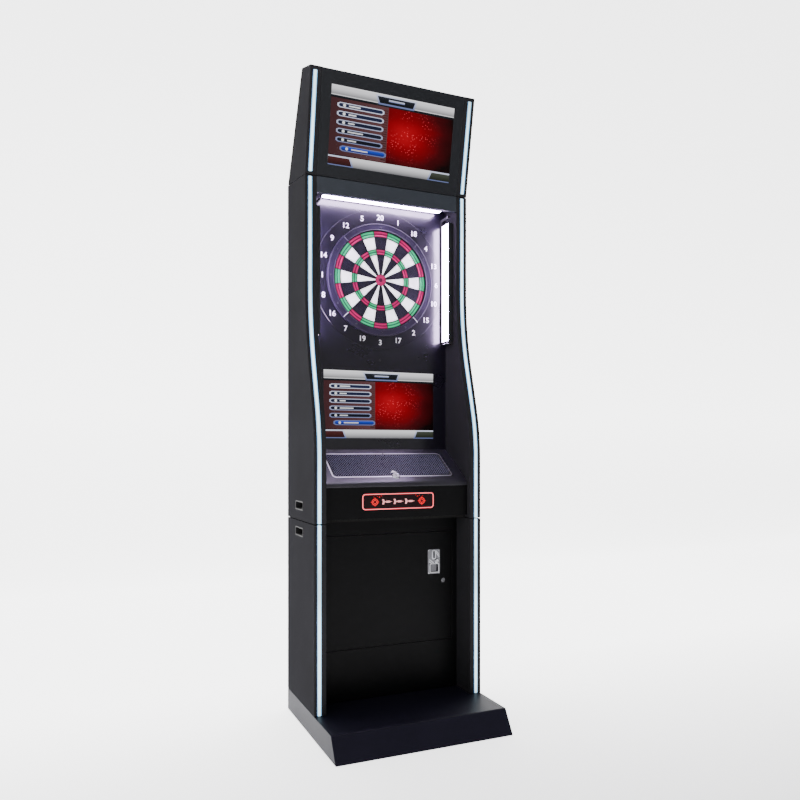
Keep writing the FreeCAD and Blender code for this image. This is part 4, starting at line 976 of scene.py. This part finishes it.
def dart_icon(bm, x, z, length, front):
    """A plain dart pointing right: point, barrel, shaft and flight, in twentieths of its length."""
    unit = length / 20
    for shape in (
        ((10, 0), (5, 0.9), (5, -0.9)),
        ((5, -1.7), (5, 1.7), (-2, 1.7), (-2, -1.7)),
        ((-2, -0.8), (-2, 0.8), (-5, 0.8), (-5, -0.8)),
        ((-5, 0), (-6.5, 4.6), (-10, 4.6), (-8.5, 0), (-10, -4.6), (-6.5, -4.6)),
    ):
        outline = [(x + across * unit, z + up * unit) for across, up in shape]
        slab(bm, outline[::-1], front, front + 0.5 * MM)


def lit_sign():
    softened("sign_lens", "sign", 0.6)
    low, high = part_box("sign_lens")
    height = middle_of("sign_lens").z
    front = low.y - 0.5 * MM
    inset = 3.2 * MM
    line = rounded_outline((low.x, low.z), (high.x, high.z), 10.5 * MM, -inset, 8)
    tube("sign_outline_neon", [(x, low.y - 0.2 * MM, z) for x, z in line], 1.7 * MM, "neon")
    bm = bmesh.new()
    reach = 97 * MM
    middle = height - 1 * MM
    for side in (-1, 1):
        target_icon(bm, side * reach, middle, 13 * MM, front)
    piece("sign_targets", bm, "neon_red")
    bm = bmesh.new()
    for index in range(3):
        dart_icon(bm, (index - 1) * 47 * MM, middle, 42 * MM, front)
    piece("sign_darts", bm, "neon_pale")
    bm = bmesh.new()
    for side in (-1, 1):
        for dx, dz, size in ((14, 17, 2.2), (22, 22, 1.6), (6, 20, 1.4), (-8, 18, 1.2)):
            x = side * (reach - 4 * MM) - side * dx * MM
            slab(bm, disc_outline(x, height + dz * MM, size * MM, 5), front, front + 0.5 * MM)
    piece("sign_sparks", bm, "neon_red")


# ---- light bars ----


def light_bars():
    """The bars, with a black trim behind each side diffuser and a cap on its two ends."""
    softened("light_bar_diffusers", "bar_light", 2.2)
    softened("light_bar_housings", "black", 0.8)
    low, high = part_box("light_bar_diffusers")
    rear = FASCIA_FACE - 12 * MM
    end_cap = 8 * MM
    bm = bmesh.new()
    for side in (-1, 1):
        low_x, high_x = sorted((side * 272.6 * MM, side * 279.5 * MM))
        slab(bm, box_shape(low_x, low.z, high_x, high.z - 28 * MM), rear, FASCIA_FACE)
        for z in (low.z, high.z - 28 * MM - end_cap):
            slab(bm, box_shape(low_x, z, high_x, z + end_cap), FASCIA_FACE - 69 * MM, rear)
    soften(bm, 0.6)
    piece("light_bar_trims", bm, "black")


# ---- coin door ----


def coin_entry(centre, front):
    """The slot's raised bezel and collar, and a dark liner round its mouth."""
    low, high = (centre.x - 3.3 * MM, centre.z + 15 * MM), (centre.x + 1.3 * MM, centre.z + 41 * MM)
    lip = 2.6 * MM
    collar = 6.4 * MM
    inner = rounded_outline(low, high, 0.5 * MM)
    middle = rounded_outline(low, high, 3 * MM, lip)
    outer = rounded_outline(low, (high[0], high[1] - 1.4 * MM), 7 * MM, collar)
    bm = bmesh.new()
    band(bm, middle, inner, front - 3.4 * MM, front - 0.05 * MM)
    band(bm, outer, middle, front - 1.6 * MM, front - 0.05 * MM)
    soften(bm, 0.7)
    piece("coin_entry_bezel", bm, "chrome", DOOR)
    bm = bmesh.new()
    band(bm, rounded_outline(low, high, 1.4 * MM, 1.3 * MM), inner, front - 3.7 * MM, front - 3.3 * MM)
    soften(bm, 0.1)
    piece("coin_entry_liner", bm, "rubber", DOOR)


def coin_ribs(centre, front):
    """Slanted ribs on the plate's face, each from one place to another, in mm from its centre."""
    bm = bmesh.new()
    left_ribs = ((-20, 8), (-3, -5)), ((-21, 0), (-10, -8))
    right_ribs = ((9, 34), (21, 20)), ((9, 42), (21, 28))
    for start, end in left_ribs + right_ribs:
        start, end = Vector(start), Vector(end)
        along = (end - start).normalized() * 1.7
        side = Vector((-along.y, along.x))
        corners = (start - along - side, end + along - side, end + along + side, start - along + side)
        outline = [(centre.x + corner.x * MM, centre.z + corner.y * MM) for corner in corners]
        slab(bm, outline, front - 1.8 * MM, front)
    soften(bm, 0.8)
    piece("coin_plate_ribs", bm, "chrome", DOOR)


def coin_hardware():
    softened("coin_plate", "plate", 1.0, DOOR)
    centre = middle_of("coin_plate")
    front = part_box("coin_plate")[0].y
    coin_entry(centre, front)
    coin_ribs(centre, front)
    cup = (centre.x - 18 * MM, centre.z - 42 * MM), (centre.x + 18 * MM, centre.z - 10 * MM)
    outer = rounded_outline(*cup, 6 * MM, 2.6 * MM)
    bm = bmesh.new()
    band(bm, outer, rounded_outline(*cup, 4 * MM), front - 4 * MM, front - 0.05 * MM)
    soften(bm, 1.0)
    piece("coin_return_bezel", bm, "chrome", DOOR)
    bm = bmesh.new()
    seat = front - 0.05 * MM
    lathe(bm, (
        (6.9 * MM, seat), (6.9 * MM, front - 1.6 * MM), (7.6 * MM, front - 2.4 * MM),
        (9.4 * MM, front - 2.0 * MM), (10.2 * MM, seat),
    ), (centre.x + 12 * MM, 0, centre.z + 3 * MM), 48)
    piece("reject_bezel", bm, "chrome", DOOR)
    bm = bmesh.new()
    for dx in (-22.5, 22.5):
        for dz in (-45, 45):
            screw_head(bm, (centre.x + dx * MM, front, centre.z + dz * MM), 2.6 * MM, 20)
    piece("coin_plate_screws", bm, "chrome", DOOR)
    softened("reject_button", "chrome", 0.6, "reject_button")
    softened("return_flap", "dull_chrome", 0.3, "return_flap")
    softened("lock_body", "dull_chrome", 0.5, DOOR)
    softened("lock_plug", "dull_chrome", 0.25, "lock_plug")
    for node in ("hinge_leaf_frame", "hinge_leaf_door", "hinge_pin"):
        paint(node, "front")


def screw_head(bm, place, radius, steps):
    """A low domed screw head with its face towards -Y."""
    x, y, z = place
    root = y + 0.3 * MM
    knob(bm, (
        (0, y - radius * 0.55), (radius * 0.5, y - radius * 0.5), (radius * 0.85, y - radius * 0.3),
        (radius, y - 0.02 * MM), (radius, root), (0, root),
    ), (x, 0, z), steps)


def panel_screws():
    """Black screws round the two back panels and along the hinge's leaves."""
    bm = bmesh.new()
    for node, rows in (
        ("lower_back_panel", (0.1, 0.42, 0.755)),
        ("upper_back_panel", (0.8, 1.2, 1.6, 2.08)),
    ):
        low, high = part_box(node)
        root = high.y - 1.2 * MM
        for z in rows:
            for x in (low.x + 12 * MM, high.x - 12 * MM):
                knob(bm, (
                    (0, high.y), (2.0 * MM, high.y - 0.02 * MM), (4.2 * MM, high.y - 0.5 * MM),
                    (4.4 * MM, root), (0, root),
                ), (x, 0, z), 20)
    piece("back_panel_screws", bm, "screw")
    low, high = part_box("hinge_leaf_frame")
    rows = [low.z + 20 * MM + (high.z - low.z - 40 * MM) * step / 5 for step in range(6)]
    leaf_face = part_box("lower_front_frame")[0].y - 1.2 * MM
    for name, x, body in (
        ("frame_hinge_screws", low.x + 7 * MM, CABINET),
        ("door_hinge_screws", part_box("hinge_leaf_door")[1].x - 7 * MM, DOOR),
    ):
        bm = bmesh.new()
        for z in rows:
            screw_head(bm, (x, leaf_face, z), 2.4 * MM, 16)
        piece(name, bm, "front", body)


# ---- inner parts ----


def inner_parts():
    for node in ("power_inlet", "fan_frame"):
        softened(node, "black", 0.4)
    softened("power_rocker", "rubber", 0.5, "power_rocker")
    softened("fan_rotor", "black", 0.3, "fan_rotor")
    paint("fan_guard", "chrome")
    for node in ("cash_box", "power_supply", "game_computer"):
        softened(node, "zinc", 0.5)
    paint("target_backplate", "zinc")
    for node in ("speakers", "sensor_matrix", "sign_housing", "coin_mech", "lower_screen", "upper_screen"):
        paint(node, "black")
    softened("board_camera", "black", 0.3)
    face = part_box("board_camera")[0].y
    root = face + 0.5 * MM
    bm = bmesh.new()
    knob(bm, (
        (0, face - 0.7 * MM), (1.6 * MM, face - 0.6 * MM), (2.8 * MM, face - 0.05 * MM), (2.8 * MM, root),
        (0, root),
    ), (0, 0, middle_of("board_camera").z), 28)
    piece("board_camera_lens", bm, "fascia")


# ---- studio ----


def studio_finish():
    """Pale card that glows behind the machine, as if lit on its own there, and less in front of it."""
    color = (0.86, 0.86, 0.87)
    pale = Finish("studio_pale", color, roughness=0.8, specular_ior_level=0.1, emission_strength=1.0)
    start, end = -2.2, 0.6
    from_start = pale.math("SUBTRACT", pale.axes()["Y"], start)
    share = pale.math("DIVIDE", from_start, end - start, clamp=True)
    pale.link(pale.ramp(share, (0.0, 0.12), (0.4, 0.9), (1.0, 3.4)), "Emission Color")
    pale.vary(pale.noise(1.5, 2), 0.01)
    return pale.material


def studio_sweep():
    """A pale floor that curves up into a wall behind the machine."""
    steps = 16
    radius = 1.4
    depth = 3.2
    profile = [(-7.0, 0.0)]
    for step in range(steps + 1):
        angle = math.radians(90 * step / steps)
        profile.append((depth + radius * math.sin(angle), radius * (1 - math.cos(angle))))
    profile.append((depth + radius, 14.0))
    bm = bmesh.new()
    half = 16
    rows = [[bm.verts.new((x, y, z)) for x in (-half, half)] for y, z in profile]
    for row, after in zip(rows, rows[1:]):
        bm.faces.new((row[0], row[1], after[1], after[0]))
    mesh = bpy.data.meshes.new("studio_sweep")
    bm.to_mesh(mesh)
    bm.free()
    mesh.materials.append(studio_finish())
    shade(mesh, 60)
    add_object("studio_sweep", mesh)


def studio_world():
    world = bpy.data.worlds.new("studio_world")
    world.use_nodes = True
    background = world.node_tree.nodes["Background"]
    background.inputs["Color"].default_value = (1, 1, 1, 1)
    background.inputs["Strength"].default_value = 0.2
    bpy.context.scene.world = world


def studio_lights():
    """Each light's name, place, aim, size and power."""
    for name, place, aim, size, power in (
        ("key", (-3.4, -2.2, 3.2), (0, 0, 1.2), 2.0, 52),
        ("front", (-1.6, -4.4, 3.6), (0, 0, 1.5), 2.6, 60),
        ("top", (0.3, 0.6, 5.0), (0, 0, 0), 2.6, 110),
        ("right", (4.0, 0.8, 2.8), (0, 0, 1.0), 2.2, 60),
    ):
        data = bpy.data.lights.new(f"studio_{name}", "AREA")
        data.shape = "SQUARE"
        data.size = size
        data.energy = power
        light = add_object(data.name, data)
        light.location = place
        light.rotation_euler = (Vector(aim) - Vector(place)).to_track_quat("-Z", "Y").to_euler()


def camera():
    """The photograph's camera, fitted to the cabinet's corners and the target."""
    data = bpy.data.cameras.new("camera")
    data.sensor_width = 36
    data.lens = 33.54
    data.shift_y = 0.059
    data.clip_end = 60
    view = add_object("camera", data)
    view.location = (-1.1292, -2.6418, 1.0560)
    view.rotation_euler = (math.radians(90), 0, math.radians(-23.53))
    bpy.context.scene.camera = view


camera()
studio_sweep()
studio_world()
studio_lights()
cabinet_panels()
grip_cups()
edge_lights()
target_rings()
target_segments()
target_bulls()
numerals()
screens()
shelf_overlay()
select_button()
lit_sign()
light_bars()
coin_hardware()
panel_screws()
inner_parts()
